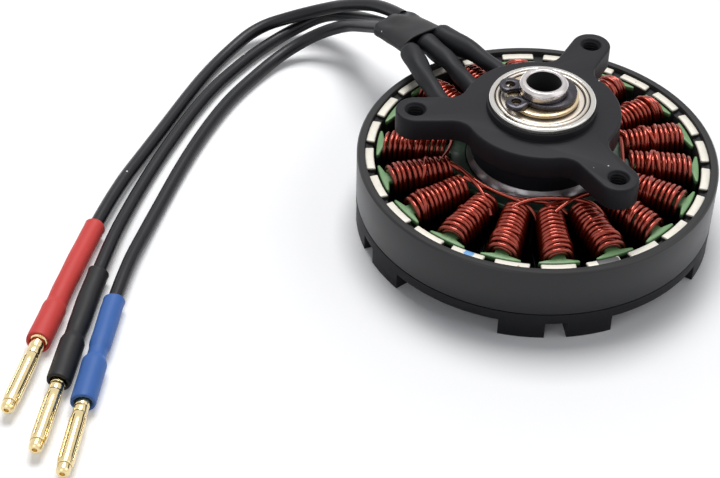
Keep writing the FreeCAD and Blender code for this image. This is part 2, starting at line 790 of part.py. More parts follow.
def build_circlip():
    """An external circlip whose mouth opens along its own X axis."""
    clip = body("circlip", "clip_turn")
    hoop = sketch(clip, "clip_hoop", lift=WASHER_TOP)
    circle(hoop, "clip_radius", "-clip_offset")
    pad(clip, hoop, "clip_thick")
    neck = f"({SHAFT_RADIUS} - clip_groove)"
    cuts = []
    for side, turn in [("left", "clip_lug_angle"), ("right", "-clip_lug_angle")]:
        stem = sketch(clip, f"clip_stem_{side}", lift=WASHER_TOP, turn=turn)
        half = "clip_lug_radius"
        outline(
            stem,
            [(neck, f"-{half}"), ("clip_lug_reach", f"-{half}"), ("clip_lug_reach", half), (neck, half)],
        )
        pad(clip, stem, "clip_thick")
        lug = sketch(clip, f"clip_lug_{side}", lift=WASHER_TOP, turn=turn)
        circle(lug, "clip_lug_radius", "clip_lug_reach")
        pad(clip, lug, "clip_thick")
        eye = sketch(clip, f"clip_eye_{side}", lift=WASHER_TOP, turn=turn)
        circle(eye, "clip_hole_radius", "clip_lug_reach")
        cuts.append(eye)
    bore = sketch(clip, "clip_bore", lift=WASHER_TOP)
    circle(bore, neck)
    mouth = sketch(clip, "clip_mouth_outline", lift=WASHER_TOP)
    half = "clip_mouth / 2"
    reach = "(clip_lug_reach + clip_lug_radius + cut_margin)"
    start = "(shaft_bore / 2)"
    outline(mouth, [(start, f"-{half}"), (reach, f"-{half}"), (reach, half), (start, half)])
    for cut in [*cuts, bore, mouth]:
        pocket(clip, cut, "clip_thick")
    return clip


# ---------------------------------------------------------------- leads

# Each route is a list of points. The tails run from the coils to the bundle sleeve,
# and the leads from there to the connectors.
TAILS = {
    "blue": [
        (-15.3, 4.4, 21.2),
        (-19.4, 6.9, 21.2),
        (-23.2, 12.0, 21.5),
        (-26.9, 18.6, 22.1),
        (-30.3, 26.1, 22.3),
    ],
    "black": [
        (-11.6, 10.8, 21.2),
        (-15.2, 14.6, 21.2),
        (-18.5, 19.6, 21.4),
        (-22.6, 25.2, 22.0),
        (-27.5, 29.4, 22.4),
    ],
    "red": [
        (-5.9, 14.9, 21.2),
        (-8.2, 20.6, 21.2),
        (-13.2, 25.6, 21.4),
        (-19.0, 29.4, 22.0),
        (-24.7, 32.7, 22.6),
    ],
}
LEADS = {
    "red": [
        (-33.3, 40.5, 20.7),
        (-38.8, 47.1, 18.8),
        (-46.2, 52.4, 14.9),
        (-53.4, 57.0, 9.8),
        (-61.2, 57.9, 6.2),
        (-70.2, 55.4, 3.6),
        (-76.0, 46.8, 1.5),
        (-80.3, 34.5, 1.5),
        (-85.0, 14.5, 1.5),
        (-91.5, -15.0, 2.75),
        (-93.3, -46.3, 2.75),
    ],
    "black": [
        (-35.5, 38.4, 19.2),
        (-40.4, 46.4, 14.7),
        (-46.2, 54.6, 9.9),
        (-54.0, 59.8, 6.2),
        (-61.0, 58.4, 2.4),
        (-67.0, 51.6, 1.5),
        (-72.0, 42.6, 1.5),
        (-77.3, 30.5, 1.5),
        (-82.2, 11.0, 1.5),
        (-85.6, -8.5, 1.5),
        (-87.4, -30.0, 2.75),
        (-87.2, -55.2, 2.75),
    ],
    "blue": [
        (-37.7, 36.1, 20.3),
        (-42.3, 42.0, 16.2),
        (-47.8, 49.7, 10.6),
        (-55.4, 51.4, 5.8),
        (-62.6, 47.2, 2.4),
        (-67.6, 38.8, 1.5),
        (-72.8, 26.5, 1.5),
        (-77.2, 7.5, 1.5),
        (-80.2, -15.0, 1.5),
        (-82.4, -36.5, 2.75),
        (-81.5, -60.2, 2.75),
    ],
}
ARC_SHARE = 0.45
BUNDLE_AT = (-27.5, 29.4, 22.4)
BUNDLE_TOWARDS = (-35.5, 38.3, 20.2)
BUNDLE_BITE = 0.5


def tube(label, points, diameter):
    """A round tube along straight runs that are joined by tangent arcs."""
    spots = [Vector(*point) for point in points]
    edges = []
    radii = []
    start = spots[0]
    for before, corner, after in zip(spots, spots[1:], spots[2:]):
        come = (corner - before).normalize()
        leave = (after - corner).normalize()
        half_turn = come.getAngle(leave) / 2
        cut = ARC_SHARE * min(before.distanceToPoint(corner), corner.distanceToPoint(after))
        radius = cut / math.tan(half_turn)
        inward = (leave - come).normalize()
        middle = corner + inward * (radius / math.cos(half_turn) - radius)
        edges.append(Part.LineSegment(start, corner - come * cut).toShape())
        edges.append(Part.Arc(corner - come * cut, middle, corner + leave * cut).toShape())
        start = corner + leave * cut
        radii.append(round(radius, 1))
    edges.append(Part.LineSegment(start, spots[-1]).toShape())
    path = Part.Wire(edges)
    section = Part.Wire(Part.makeCircle(diameter / 2, spots[0], spots[1] - spots[0]))
    made = doc.addObject("Part::Feature", label)
    made.Shape = path.makePipeShell([section], True, False)
    expected = path.Length * math.pi * diameter**2 / 4
    share = made.Shape.Volume / expected
    print(f"{label}: length {path.Length:.1f}, volume share {share:.4f}, radii {radii}")
    if abs(share - 1) > 0.01:
        raise ValueError(f"{label} is not the solid that its length gives")
    return made


def build_leads():
    tails = [tube(f"{name}_tail", points, number("tail_diameter")) for name, points in TAILS.items()]
    leads = [tube(f"{name}_lead", points, number("lead_diameter")) for name, points in LEADS.items()]
    return tails + leads


def flat_section(wide, thick, height):
    """A flat oval at a height."""
    half = (wide - thick) / 2
    radius = thick / 2
    corners = [Vector(half, -radius, height), Vector(half, radius, height)]
    ends = [Vector(-half, radius, height), Vector(-half, -radius, height)]
    right = Part.Arc(corners[0], Vector(half + radius, 0, height), corners[1]).toShape()
    left = Part.Arc(ends[0], Vector(-half - radius, 0, height), ends[1]).toShape()
    top = Part.LineSegment(corners[1], ends[0]).toShape()
    low = Part.LineSegment(ends[1], corners[0]).toShape()
    return Part.Wire([right, top, left, low])


def build_bundle_sleeve():
    """The flat heat-shrink sleeve over the joints between tails and leads."""
    start = Vector(*BUNDLE_AT)
    along = (Vector(*BUNDLE_TOWARDS) - start).normalize()
    across = along.cross(Vector(0, 0, 1)).normalize()
    thick = number("bundle_thick")
    near = flat_section(number("bundle_wide"), thick, 0)
    far = flat_section(number("bundle_narrow"), thick, number("bundle_length"))
    sleeve = doc.addObject("Part::Feature", "bundle_sleeve")
    sleeve.Shape = Part.makeLoft([near, far], True)
    turn = Rotation(across, Vector(0, 0, 0), along, "ZXY")
    sleeve.Placement = Placement(start - along * BUNDLE_BITE, turn)
    return sleeve


# ---------------------------------------------------------------- connectors

# How far each coloured sleeve reaches back over its lead and forward over its cup.
SLEEVES = {"red": (25.2, 10.4), "black": (20.3, 11.4), "blue": (17.5, 11.1)}


def at_lead_end(name):
    """The place of a piece whose own Z axis carries a lead on."""
    before, last = [Vector(*point) for point in LEADS[name][-2:]]
    return Placement(last, Rotation(Vector(0, 0, 1), last - before))


def build_connector(name):
    """Pin, spring cage and coloured sleeve at the end of one lead."""
    back, forward = SLEEVES[name]
    collar_end = "(cup_length + pin_collar_length)"
    spring_end = f"({collar_end} + spring_length)"
    tip_end = f"({spring_end} + pin_tip_length)"
    cup_inside = "(cup_radius - cup_wall)"
    pin = body(f"{name}_pin")
    revolve(
        pin,
        [
            (cup_inside, "0"),
            ("cup_radius", "0"),
            ("cup_radius", "cup_length"),
            ("pin_collar_radius", "cup_length"),
            ("pin_collar_radius", collar_end),
            ("pin_core_radius", collar_end),
            ("pin_core_radius", spring_end),
            ("pin_tip_radius", spring_end),
            ("pin_tip_radius", f"{tip_end} - pin_tip_slope"),
            ("pin_tip_flat", tip_end),
            ("pin_tip_bore", tip_end),
            ("pin_tip_bore", f"{tip_end} - pin_tip_bore_deep"),
            ("0", f"{tip_end} - pin_tip_bore_deep"),
            ("0", "cup_length - cup_floor"),
            (cup_inside, "cup_length - cup_floor"),
        ],
        f"{name}_pin_profile",
    )
    spring = body(f"{name}_pin_spring")
    inside = "(pin_core_radius + spring_clear)"
    outside = f"({inside} + spring_wall)"
    quarter = "spring_length / 4"
    revolve(
        spring,
        [
            (inside, collar_end),
            (outside, collar_end),
            (f"{outside} + spring_bulge", f"{collar_end} + {quarter}"),
            (f"{outside} + spring_bulge", f"{spring_end} - {quarter}"),
            (outside, spring_end),
            (inside, spring_end),
            (f"{inside} + spring_bulge", f"{spring_end} - {quarter}"),
            (f"{inside} + spring_bulge", f"{collar_end} + {quarter}"),
        ],
        f"{name}_spring_profile",
    )
    slit = sketch(spring, f"{name}_slit", lift=f"{collar_end} + slit_margin")
    reach = f"({outside} + spring_bulge + cut_margin)"
    half = "slit_wide / 2"
    start = "(pin_core_radius / 2)"
    outline(slit, [(start, f"-{half}"), (reach, f"-{half}"), (reach, half), (start, half)])
    polar(spring, [pocket(spring, slit, "spring_length - 2 * slit_margin")], "spring_slits")
    sleeve = body(f"{name}_sleeve")
    lead_inside = "(lead_diameter / 2 + shrink_clear)"
    lead_outside = f"({lead_inside} + shrink_wall)"
    cup_inside = "(cup_radius + shrink_clear)"
    cup_outside = f"({cup_inside} + cup_shrink_wall)"
    revolve(
        sleeve,
        [
            (lead_inside, f"-{back}"),
            (lead_outside, f"-{back}"),
            (lead_outside, "-cup_shrink_lead"),
            (cup_outside, "cup_shrink_step"),
            (cup_outside, forward),
            (cup_inside, forward),
            (cup_inside, "-shrink_clear"),
            (lead_inside, "-shrink_clear"),
        ],
        f"{name}_sleeve_profile",
    )
    pieces = [pin, spring, sleeve]
    for piece in pieces:
        piece.Placement = at_lead_end(name)
    return pieces


# ---------------------------------------------------------------- document

parts = [
    build_flux_ring(),
    build_bell_face(),
    *build_magnets(),
    build_grub_screws(),
    build_stator_core(),
    *build_windings(),
    build_winding_links(),
    build_motor_mount(),
    *build_bearing("upper", UPPER_LOW),
    *build_bearing("lower", LOWER_LOW),
    build_shaft(),
    *build_washers(),
    build_circlip(),
    *build_leads(),
    build_bundle_sleeve(),
    *build_connector("red"),
    *build_connector("black"),
    *build_connector("blue"),
]
doc.recompute()

for item in doc.Objects:
    if "Invalid" in item.State or "Error" in item.State:
        raise ValueError(f"{item.Name} failed: {item.State}")
for part in parts:
    if part.Shape.isNull() or not part.Shape.isValid():
        raise ValueError(f"{part.Label} has no valid shape")
    if not part.Shape.Solids:
        raise ValueError(f"{part.Label} has no solid")

os.makedirs("parts", exist_ok=True)
for part in parts:
    part.Shape.exportStep(f"parts/{part.Label}.step")
print(f"{len(parts)} parts")
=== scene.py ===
import math
import random

import bmesh
import bpy
from bpy.props import FloatProperty, FloatVectorProperty, IntProperty, PointerProperty
from mathutils import Matrix, Vector, noise


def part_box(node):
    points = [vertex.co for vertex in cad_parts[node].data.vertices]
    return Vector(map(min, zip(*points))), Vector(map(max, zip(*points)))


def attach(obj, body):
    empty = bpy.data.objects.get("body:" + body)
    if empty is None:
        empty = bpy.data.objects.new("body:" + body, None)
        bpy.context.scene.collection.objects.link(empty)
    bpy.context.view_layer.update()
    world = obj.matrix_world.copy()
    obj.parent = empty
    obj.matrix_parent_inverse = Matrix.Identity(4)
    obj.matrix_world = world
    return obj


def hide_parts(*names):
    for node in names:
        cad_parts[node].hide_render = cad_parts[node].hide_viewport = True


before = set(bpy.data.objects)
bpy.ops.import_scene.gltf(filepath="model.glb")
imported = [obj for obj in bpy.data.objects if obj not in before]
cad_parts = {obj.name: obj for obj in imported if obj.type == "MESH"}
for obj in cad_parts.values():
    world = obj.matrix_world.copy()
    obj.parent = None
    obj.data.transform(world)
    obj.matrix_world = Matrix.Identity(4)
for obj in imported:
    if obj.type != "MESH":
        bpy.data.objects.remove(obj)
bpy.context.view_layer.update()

bl_info = {
    "name": "Brushless Outrunner Motor",
    "version": (1, 0, 0),
    "blender": (4, 5, 0),
    "location": "3D View > Sidebar > Motor",
    "description": "Builds an outrunner motor's finished surfaces around its packed solids",
    "category": "Object",
}

MM = 0.001
FULL_TURN = 2 * math.pi

# ---------------------------------------------------------------- sizes taken from the solids


def reach(node):
    """How far a node of revolution reaches from the shaft's axis, in millimetres."""
    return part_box(node)[1][0] / MM


def level(node, end):
    """A node's lowest (0) or highest (1) level, in millimetres."""
    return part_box(node)[end][2] / MM


BELL_RADIUS = reach("flux_ring")
RING_LOW, RING_TOP = level("flux_ring", 0), level("flux_ring", 1)
CORE_LOW, CORE_TOP = level("stator_core", 0), level("stator_core", 1)
MAGNET_TOP = level("north_magnets", 1)
MOUNT_TOP = level("upper_bearing_outer_ring", 1)
BEARING_LOW = level("upper_bearing_outer_ring", 0)
SHIM_TOP = level("brass_shim", 1)
SHAFT_LOW, SHAFT_TOP = level("shaft", 0), level("shaft", 1)

# ---------------------------------------------------------------- sizes that the boxes don't give

COLUMN_LOW = 18.3
RING_WALL = 1.7
RING_SEAM = 0.28
RING_EDGE = 0.4
MAGNET_MIDDLE = 35.3
TOOTH_COUNT = 18
TOOTH_TURN = 1.2
SHAFT_RADIUS = 5.0
SHAFT_BORE = 3.5
GROOVE_RADIUS = 4.65
GROOVE_TALL = 1.1
SHIM_RADIUS = 7.4
BEARING_RADIUS = 11.0
INNER_RING_RADIUS = 6.8
ARM_TURNS = (69.2, 189.2, 309.2)
ARM_REACH = 26.0

# Cord routes, in millimetres.
TAILS = {
    "blue": [
        (-15.3, 4.4, 21.2),
        (-19.4, 6.9, 21.2),
        (-23.2, 12.0, 21.5),
        (-26.9, 18.6, 22.1),
        (-30.3, 26.1, 22.3),
    ],
    "black": [
        (-11.6, 10.8, 21.2),
        (-15.2, 14.6, 21.2),
        (-18.5, 19.6, 21.4),
        (-22.6, 25.2, 22.0),
        (-27.5, 29.4, 22.4),
    ],
    "red": [
        (-5.9, 14.9, 21.2),
        (-8.2, 20.6, 21.2),
        (-13.2, 25.6, 21.4),
        (-19.0, 29.4, 22.0),
        (-24.7, 32.7, 22.6),
    ],
}
LEADS = {
    "red": [
        (-33.3, 40.5, 20.7),
        (-38.8, 47.1, 18.8),
        (-46.2, 52.4, 14.9),
        (-53.4, 57.0, 9.8),
        (-61.2, 57.9, 6.2),
        (-70.2, 55.4, 3.6),
        (-76.0, 46.8, 1.5),
        (-80.3, 34.5, 1.5),
        (-85.0, 14.5, 1.5),
        (-91.5, -15.0, 2.75),
        (-93.3, -46.3, 2.75),
    ],
    "black": [
        (-35.5, 38.4, 19.2),
        (-40.4, 46.4, 14.7),
        (-46.2, 54.6, 9.9),
        (-54.0, 59.8, 6.2),
        (-61.0, 58.4, 2.4),
        (-67.0, 51.6, 1.5),
        (-72.0, 42.6, 1.5),
        (-77.3, 30.5, 1.5),
        (-82.2, 11.0, 1.5),
        (-85.6, -8.5, 1.5),
        (-87.4, -30.0, 2.75),
        (-87.2, -55.2, 2.75),
    ],
    "blue": [
        (-37.7, 36.1, 20.3),
        (-42.3, 42.0, 16.2),
        (-47.8, 49.7, 10.6),
        (-55.4, 51.4, 5.8),
        (-62.6, 47.2, 2.4),
        (-67.6, 38.8, 1.5),
        (-72.8, 26.5, 1.5),
        (-77.2, 7.5, 1.5),
        (-80.2, -15.0, 1.5),
        (-82.4, -36.5, 2.75),
        (-81.5, -60.2, 2.75),
    ],
}
# How much thicker each tail is where the sleeve grips it.
TAIL_SWELLS = {"blue": 0.28, "black": 0.26, "red": 0.34}
# How far each coloured sleeve reaches back over its lead and forward over its cup.
SLEEVES = {"red": (25.2, 10.4), "black": (20.3, 11.4), "blue": (17.5, 11.1)}
# How far each sleeve narrows where the lead's insulation stops short of the cup.
WAISTS = {"red": 0.04, "black": 0.12, "blue": 0.34}
BUNDLE_AT = Vector((-27.5, 29.4, 22.4))
BUNDLE_TOWARDS = Vector((-35.5, 38.3, 20.2))


def tone(code):
    """A linear colour from a hexadecimal display colour."""
    parts = [int(code[i:i + 2], 16) / 255 for i in (0, 2, 4)]
    return tuple(c / 12.92 if c <= 0.04045 else ((c + 0.055) / 1.055) ** 2.4 for c in parts)


# ---------------------------------------------------------------- properties


def length(name, description, default):
    return FloatProperty(
        name=name, description=description, default=default, min=0, unit="LENGTH", precision=5
    )


def colour(name, description, code):
    return FloatVectorProperty(
        name=name, description=description, default=tone(code), min=0, max=1, subtype="COLOR", size=3
    )


class MotorSizes(bpy.types.PropertyGroup):
    edge_softness: length("Edge softness", "Width of the soft edge on machined parts", 0.00012)
    coat_softness: length("Coat softness", "Width of the rounding that the powder coat gives", 0.0004)
    wire_diameter: length("Wire diameter", "Diameter of the enamelled winding wire", 0.00088)
    coil_turns: IntProperty(name="Coil turns", description="Turns in a coil's outer layer", default=12, min=3)
    lead_diameter: length("Lead diameter", "Outside diameter of the silicone leads", 0.003)
    tail_diameter: length("Tail diameter", "Outside diameter of the sleeved winding tails", 0.0036)
    shrink_wall: length("Shrink wall", "Thickness of the heat-shrink sleeves", 0.0006)
    thread_pitch: length("Thread pitch", "Pitch of the threads in the arms", 0.0007)


class MotorColours(bpy.types.PropertyGroup):
    anodise: colour("Anodise", "Colour of the anodised mount and bell", "19191d")
    ring_coat: colour("Ring coat", "Colour of the coated flux ring", "101014")
    magnet: colour("Magnet", "Colour of the plated magnets", "e2ddd0")
    powder_coat: colour("Powder coat", "Colour of the stator's powder coat", "6a9160")
    enamel: colour("Wire enamel", "Colour of the enamelled copper wire", "96301a")
    steel: colour("Steel", "Colour of the bearing and shaft steel", "c9c6c2")
    brass: colour("Brass", "Colour of the brass shim", "cdb896")
    gold: colour("Gold", "Colour of the plated plugs", "e6d2a2")
    silicone: colour("Silicone", "Colour of the leads", "0e0e14")
    shrink_red: colour("Red sleeve", "Colour of the red heat-shrink", "cc4440")
    shrink_blue: colour("Blue sleeve", "Colour of the blue heat-shrink", "3f68ac")
    shrink_black: colour("Black sleeve", "Colour of the black heat-shrink", "151518")


# ---------------------------------------------------------------- shader helpers


def add_node(tree, kind, inputs=(), **settings):
    """Adds a node. An input is a constant, or a socket to link from."""
    made = tree.nodes.new(kind)
    for key, value in settings.items():
        setattr(made, key, value)
    for key, value in dict(inputs).items():
        if isinstance(value, bpy.types.NodeSocket):
            tree.links.new(value, made.inputs[key])
        else:
            made.inputs[key].default_value = value
    return made


def maths(tree, operation, *values, clamp=False):
    inputs = dict(enumerate(values))
    return add_node(tree, "ShaderNodeMath", inputs, operation=operation, use_clamp=clamp).outputs[0]


def scaled(tree, colour_socket, factor):
    inputs = {"Vector": colour_socket, "Scale": factor}
    return add_node(tree, "ShaderNodeVectorMath", inputs, operation="SCALE").outputs[0]


def mixed(tree, factor, first, second):
    made = add_node(tree, "ShaderNodeMix", data_type="RGBA")
    for index, value in ((0, factor), (6, first), (7, second)):
        if isinstance(value, bpy.types.NodeSocket):
            tree.links.new(value, made.inputs[index])
        else:
            made.inputs[index].default_value = value
    return made.outputs[2]


def shader_group(name, inputs, outputs):
    """A node group with its own sockets, its input sockets and its output sockets."""
    group = bpy.data.node_groups.new(name, "ShaderNodeTree")
    for label, kind, default in inputs:
        socket = group.interface.new_socket(label, in_out="INPUT", socket_type=kind)
        socket.default_value = default
    for label, kind in outputs:
        group.interface.new_socket(label, in_out="OUTPUT", socket_type=kind)
    inside = group.nodes.new("NodeGroupInput").outputs
    return group, inside, group.nodes.new("NodeGroupOutput").inputs


COLOUR, FLOAT, VECTOR = "NodeSocketColor", "NodeSocketFloat", "NodeSocketVector"
SKIN_INPUTS = [
    ("Colour", COLOUR, (0.5, 0.5, 0.5, 1)),
    ("Shade", FLOAT, 0.2),
    ("Roughness", FLOAT, 0.5),
    ("Spread", FLOAT, 0.1),
    ("Grain", FLOAT, 2000.0),
    ("Patch", FLOAT, 80.0),
]
SKIN_OUTPUTS = [("Colour", COLOUR), ("Roughness", FLOAT), ("Height", FLOAT)]


def noise_at(tree, vector, scale, detail=3.0, rough=0.55):
    inputs = {"Vector": vector, "Scale": scale, "Detail": detail, "Roughness": rough}
    return add_node(tree, "ShaderNodeTexNoise", inputs).outputs[0]


def finish_skin(tree, inside, outside, broad, fine):
    """Shade and roughness follow a broad pattern, and height a fine one."""
    low = maths(tree, "SUBTRACT", 1.0, maths(tree, "MULTIPLY", inside["Shade"], 0.5))
    factor = maths(tree, "ADD", low, maths(tree, "MULTIPLY", inside["Shade"], broad))
    tree.links.new(scaled(tree, inside["Colour"], factor), outside["Colour"])
    swing = maths(tree, "MULTIPLY", maths(tree, "SUBTRACT", broad, 0.5), inside["Spread"])
    tree.links.new(maths(tree, "ADD", inside["Roughness"], swing), outside["Roughness"])
    tree.links.new(fine, outside["Height"])


def build_grain_group():
    """Fine grain with broad patches, for coatings, rubber and plated faces."""
    group, inside, outside = shader_group("surface_grain", SKIN_INPUTS, SKIN_OUTPUTS)
    spot = group.nodes.new("ShaderNodeTexCoord").outputs["Object"]
    fine = noise_at(group, spot, inside["Grain"])
    finish_skin(group, inside, outside, noise_at(group, spot, inside["Patch"], 5.0), fine)
    return group


def build_turning_group():
    """Rings left by a lathe about the shaft's axis."""
    group, inside, outside = shader_group("turning_marks", SKIN_INPUTS, SKIN_OUTPUTS)
    spot = group.nodes.new("ShaderNodeTexCoord").outputs["Object"]
    parts = add_node(group, "ShaderNodeSeparateXYZ", {0: spot}).outputs
    flat = add_node(group, "ShaderNodeCombineXYZ", {0: parts[0], 1: parts[1]}).outputs[0]
    radius = add_node(group, "ShaderNodeVectorMath", {0: flat}, operation="LENGTH").outputs["Value"]
    ring = add_node(group, "ShaderNodeCombineXYZ", {0: radius, 1: parts[2]}).outputs[0]
    fine = noise_at(group, ring, inside["Grain"], 4.0, 0.7)
    broad = maths(group, "MULTIPLY", maths(group, "ADD", noise_at(group, spot, inside["Patch"]), fine), 0.5)
    finish_skin(group, inside, outside, broad, fine)
    return group


def build_braid_group():
    """Two crossing sets of strands, laid out on the piece's own UV map, in metres."""
    group, inside, outside = shader_group("braid", SKIN_INPUTS, SKIN_OUTPUTS)
    spot = group.nodes.new("ShaderNodeUVMap").outputs[0]
    parts = add_node(group, "ShaderNodeSeparateXYZ", {0: spot}).outputs
    crossing = []
    for way in ("ADD", "SUBTRACT"):
        slant = maths(group, "MULTIPLY", maths(group, way, parts[0], parts[1]), inside["Grain"])
        crossing.append(maths(group, "SINE", slant))
    weave = maths(group, "MULTIPLY", maths(group, "MULTIPLY", *crossing), 0.5)
    fine = maths(group, "ADD", weave, 0.5)
    place = group.nodes.new("ShaderNodeTexCoord").outputs["Object"]
    finish_skin(group, inside, outside, noise_at(group, place, inside["Patch"], 4.0), fine)
    return group


def build_speck_group():
    """Scattered specks of lint and dust."""
    inputs = [("Scale", FLOAT, 300.0), ("Amount", FLOAT, 0.05), ("Size", FLOAT, 0.12)]
    group, inside, outside = shader_group("specks", inputs, [("Mask", FLOAT)])
    spot = group.nodes.new("ShaderNodeTexCoord").outputs["Object"]
    cells = add_node(group, "ShaderNodeTexVoronoi", {"Vector": spot, "Scale": inside["Scale"]})
    near = maths(group, "LESS_THAN", cells.outputs["Distance"], inside["Size"])
    chance = add_node(group, "ShaderNodeSeparateXYZ", {0: cells.outputs["Color"]}).outputs[0]
    chosen = maths(group, "LESS_THAN", chance, inside["Amount"])
    group.links.new(maths(group, "MULTIPLY", near, chosen), outside["Mask"])
    return group


def build_spot_group():
    """A dab with a ragged edge around one point."""
    inputs = [("Centre", VECTOR, (0.0, 0.0, 0.0)), ("Radius", FLOAT, 0.001)]
    group, inside, outside = shader_group("dab", inputs, [("Mask", FLOAT)])
    spot = group.nodes.new("ShaderNodeTexCoord").outputs["Object"]
    away = add_node(group, "ShaderNodeVectorMath", {0: spot, 1: inside["Centre"]}, operation="DISTANCE")
    ragged = maths(group, "MULTIPLY", maths(group, "SUBTRACT", noise_at(group, spot, 1500.0), 0.5), 0.0012)
    edge = maths(group, "SUBTRACT", inside["Radius"], maths(group, "ADD", away.outputs["Value"], ragged))
    group.links.new(maths(group, "MULTIPLY", edge, 6000.0, clamp=True), outside["Mask"])
    return group


BAND_LIMITS = ("Inside", "Outside", "Low", "High", "Soft")


def build_band_group():
    """A band about the shaft's axis, between two radii and two heights, that fades in inwards."""
    inputs = [(name, FLOAT, 1.0) for name in BAND_LIMITS]
    group, inside, outside = shader_group("band", inputs, [("Mask", FLOAT)])
    spot = group.nodes.new("ShaderNodeTexCoord").outputs["Object"]
    parts = add_node(group, "ShaderNodeSeparateXYZ", {0: spot}).outputs
    flat = add_node(group, "ShaderNodeCombineXYZ", {0: parts[0], 1: parts[1]}).outputs[0]
    away = add_node(group, "ShaderNodeVectorMath", {0: flat}, operation="LENGTH").outputs["Value"]
    mask = 1.0
    limits = [
        (away, inside["Inside"]),
        (inside["Outside"], away),
        (parts[2], inside["Low"]),
        (inside["High"], parts[2]),
    ]
    for more, less in limits:
        past = maths(group, "SUBTRACT", more, less)
        mask = maths(group, "MULTIPLY", mask, maths(group, "DIVIDE", past, inside["Soft"], clamp=True))
    group.links.new(mask, outside["Mask"])
    return group


PATTERNS = {
    "band": build_band_group,
    "grain": build_grain_group,
    "turning": build_turning_group,
    "braid": build_braid_group,
    "specks": build_speck_group,
    "dab": build_spot_group,
}


def pattern(name):
    """The shader group for a pattern, built when it is first asked for."""
    made = bpy.data.node_groups.get(f"motor_{name}")
    if made is None:
        made = PATTERNS[name]()
        made.name = f"motor_{name}"
    return made


def pattern_node(tree, name, values):
    return add_node(tree, "ShaderNodeGroup", node_tree=pattern(name), inputs=values)


def overlaid(tree, mask, base, value):
    """The base value, or another one where the mask is 1."""
    back = maths(tree, "MULTIPLY", maths(tree, "SUBTRACT", 1.0, mask), base)
    return maths(tree, "MULTIPLY_ADD", mask, value, back)


SPECK_SCALE = 700.0
SPECK_SIZE = 0.16


def finish(slot, colour_value, roughness, metallic=0.0, skin="grain", bump=0.1, depth=0.00005,
           specks=0.0, speck_colour=(0.6, 0.6, 0.6, 1), dabs=(), bands=(), **values):
    """A slot's material: a base colour with a skin pattern, and specks, dabs or bands over it."""
    name = f"{slot}_finish"
    made = bpy.data.materials.get(name)
    if made is not None:
        return made
    made = bpy.data.materials.new(name)
    made.use_nodes = True
    tree = made.node_tree
    shader = tree.nodes["Principled BSDF"]
    settings = {"Colour": (*colour_value[:3], 1), "Roughness": roughness}
    principled = {}
    for key, value in values.items():
        label = key.replace("_", " ")
        if label.capitalize() in ("Shade", "Spread", "Grain", "Patch"):
            settings[label.capitalize()] = value
        else:
            principled[label.title().replace("Ior", "IOR")] = value
    surface = pattern_node(tree, skin, settings)
    paint = surface.outputs["Colour"]
    rough = surface.outputs["Roughness"]
    metal = metallic
    if specks:
        mask = pattern_node(tree, "specks", {"Amount": specks, "Scale": SPECK_SCALE, "Size": SPECK_SIZE})
        paint = mixed(tree, mask.outputs["Mask"], paint, speck_colour)
    for centre, radius, dab_colour in dabs:
        mask = pattern_node(tree, "dab", {"Centre": centre, "Radius": radius})
        paint = mixed(tree, mask.outputs["Mask"], paint, dab_colour)
    shader.inputs["Metallic"].default_value = metallic
    for stripe in bands:
        limits = {label: stripe[label] * MM for label in BAND_LIMITS}
        mask = pattern_node(tree, "band", limits).outputs["Mask"]
        paint = mixed(tree, mask, paint, (*tone(stripe["colour"]), 1))
        rough = overlaid(tree, mask, rough, stripe.get("roughness", roughness))
        if "metallic" in stripe:
            metal = overlaid(tree, mask, metal, stripe["metallic"])
            tree.links.new(metal, shader.inputs["Metallic"])
    tree.links.new(paint, shader.inputs["Base Color"])
    tree.links.new(rough, shader.inputs["Roughness"])
    for key, value in principled.items():
        shader.inputs[key].default_value = value
    relief = {"Height": surface.outputs["Height"], "Strength": bump, "Distance": depth}
    tree.links.new(add_node(tree, "ShaderNodeBump", relief).outputs[0], shader.inputs["Normal"])
    return made


MAGNET_DABS = [
    # angle in degrees, radius in metres, colour
    (251, 0.0011, (0.13, 0.32, 0.6, 1)),
    (297, 0.0024, (0.1, 0.1, 0.1, 1)),
]


def magnet_dabs():
    """A blue paint mark and a dark smudge on two of the magnets."""
    return [(polar(turn, MAGNET_MIDDLE, MAGNET_TOP), radius, paint) for turn, radius, paint in MAGNET_DABS]


def band(inner, outer, low, high, code, soft=0.04, **finish_values):
    limits = {"Inside": inner, "Outside": outer, "Low": low, "High": high, "Soft": soft}
    return {**limits, "colour": code, **finish_values}


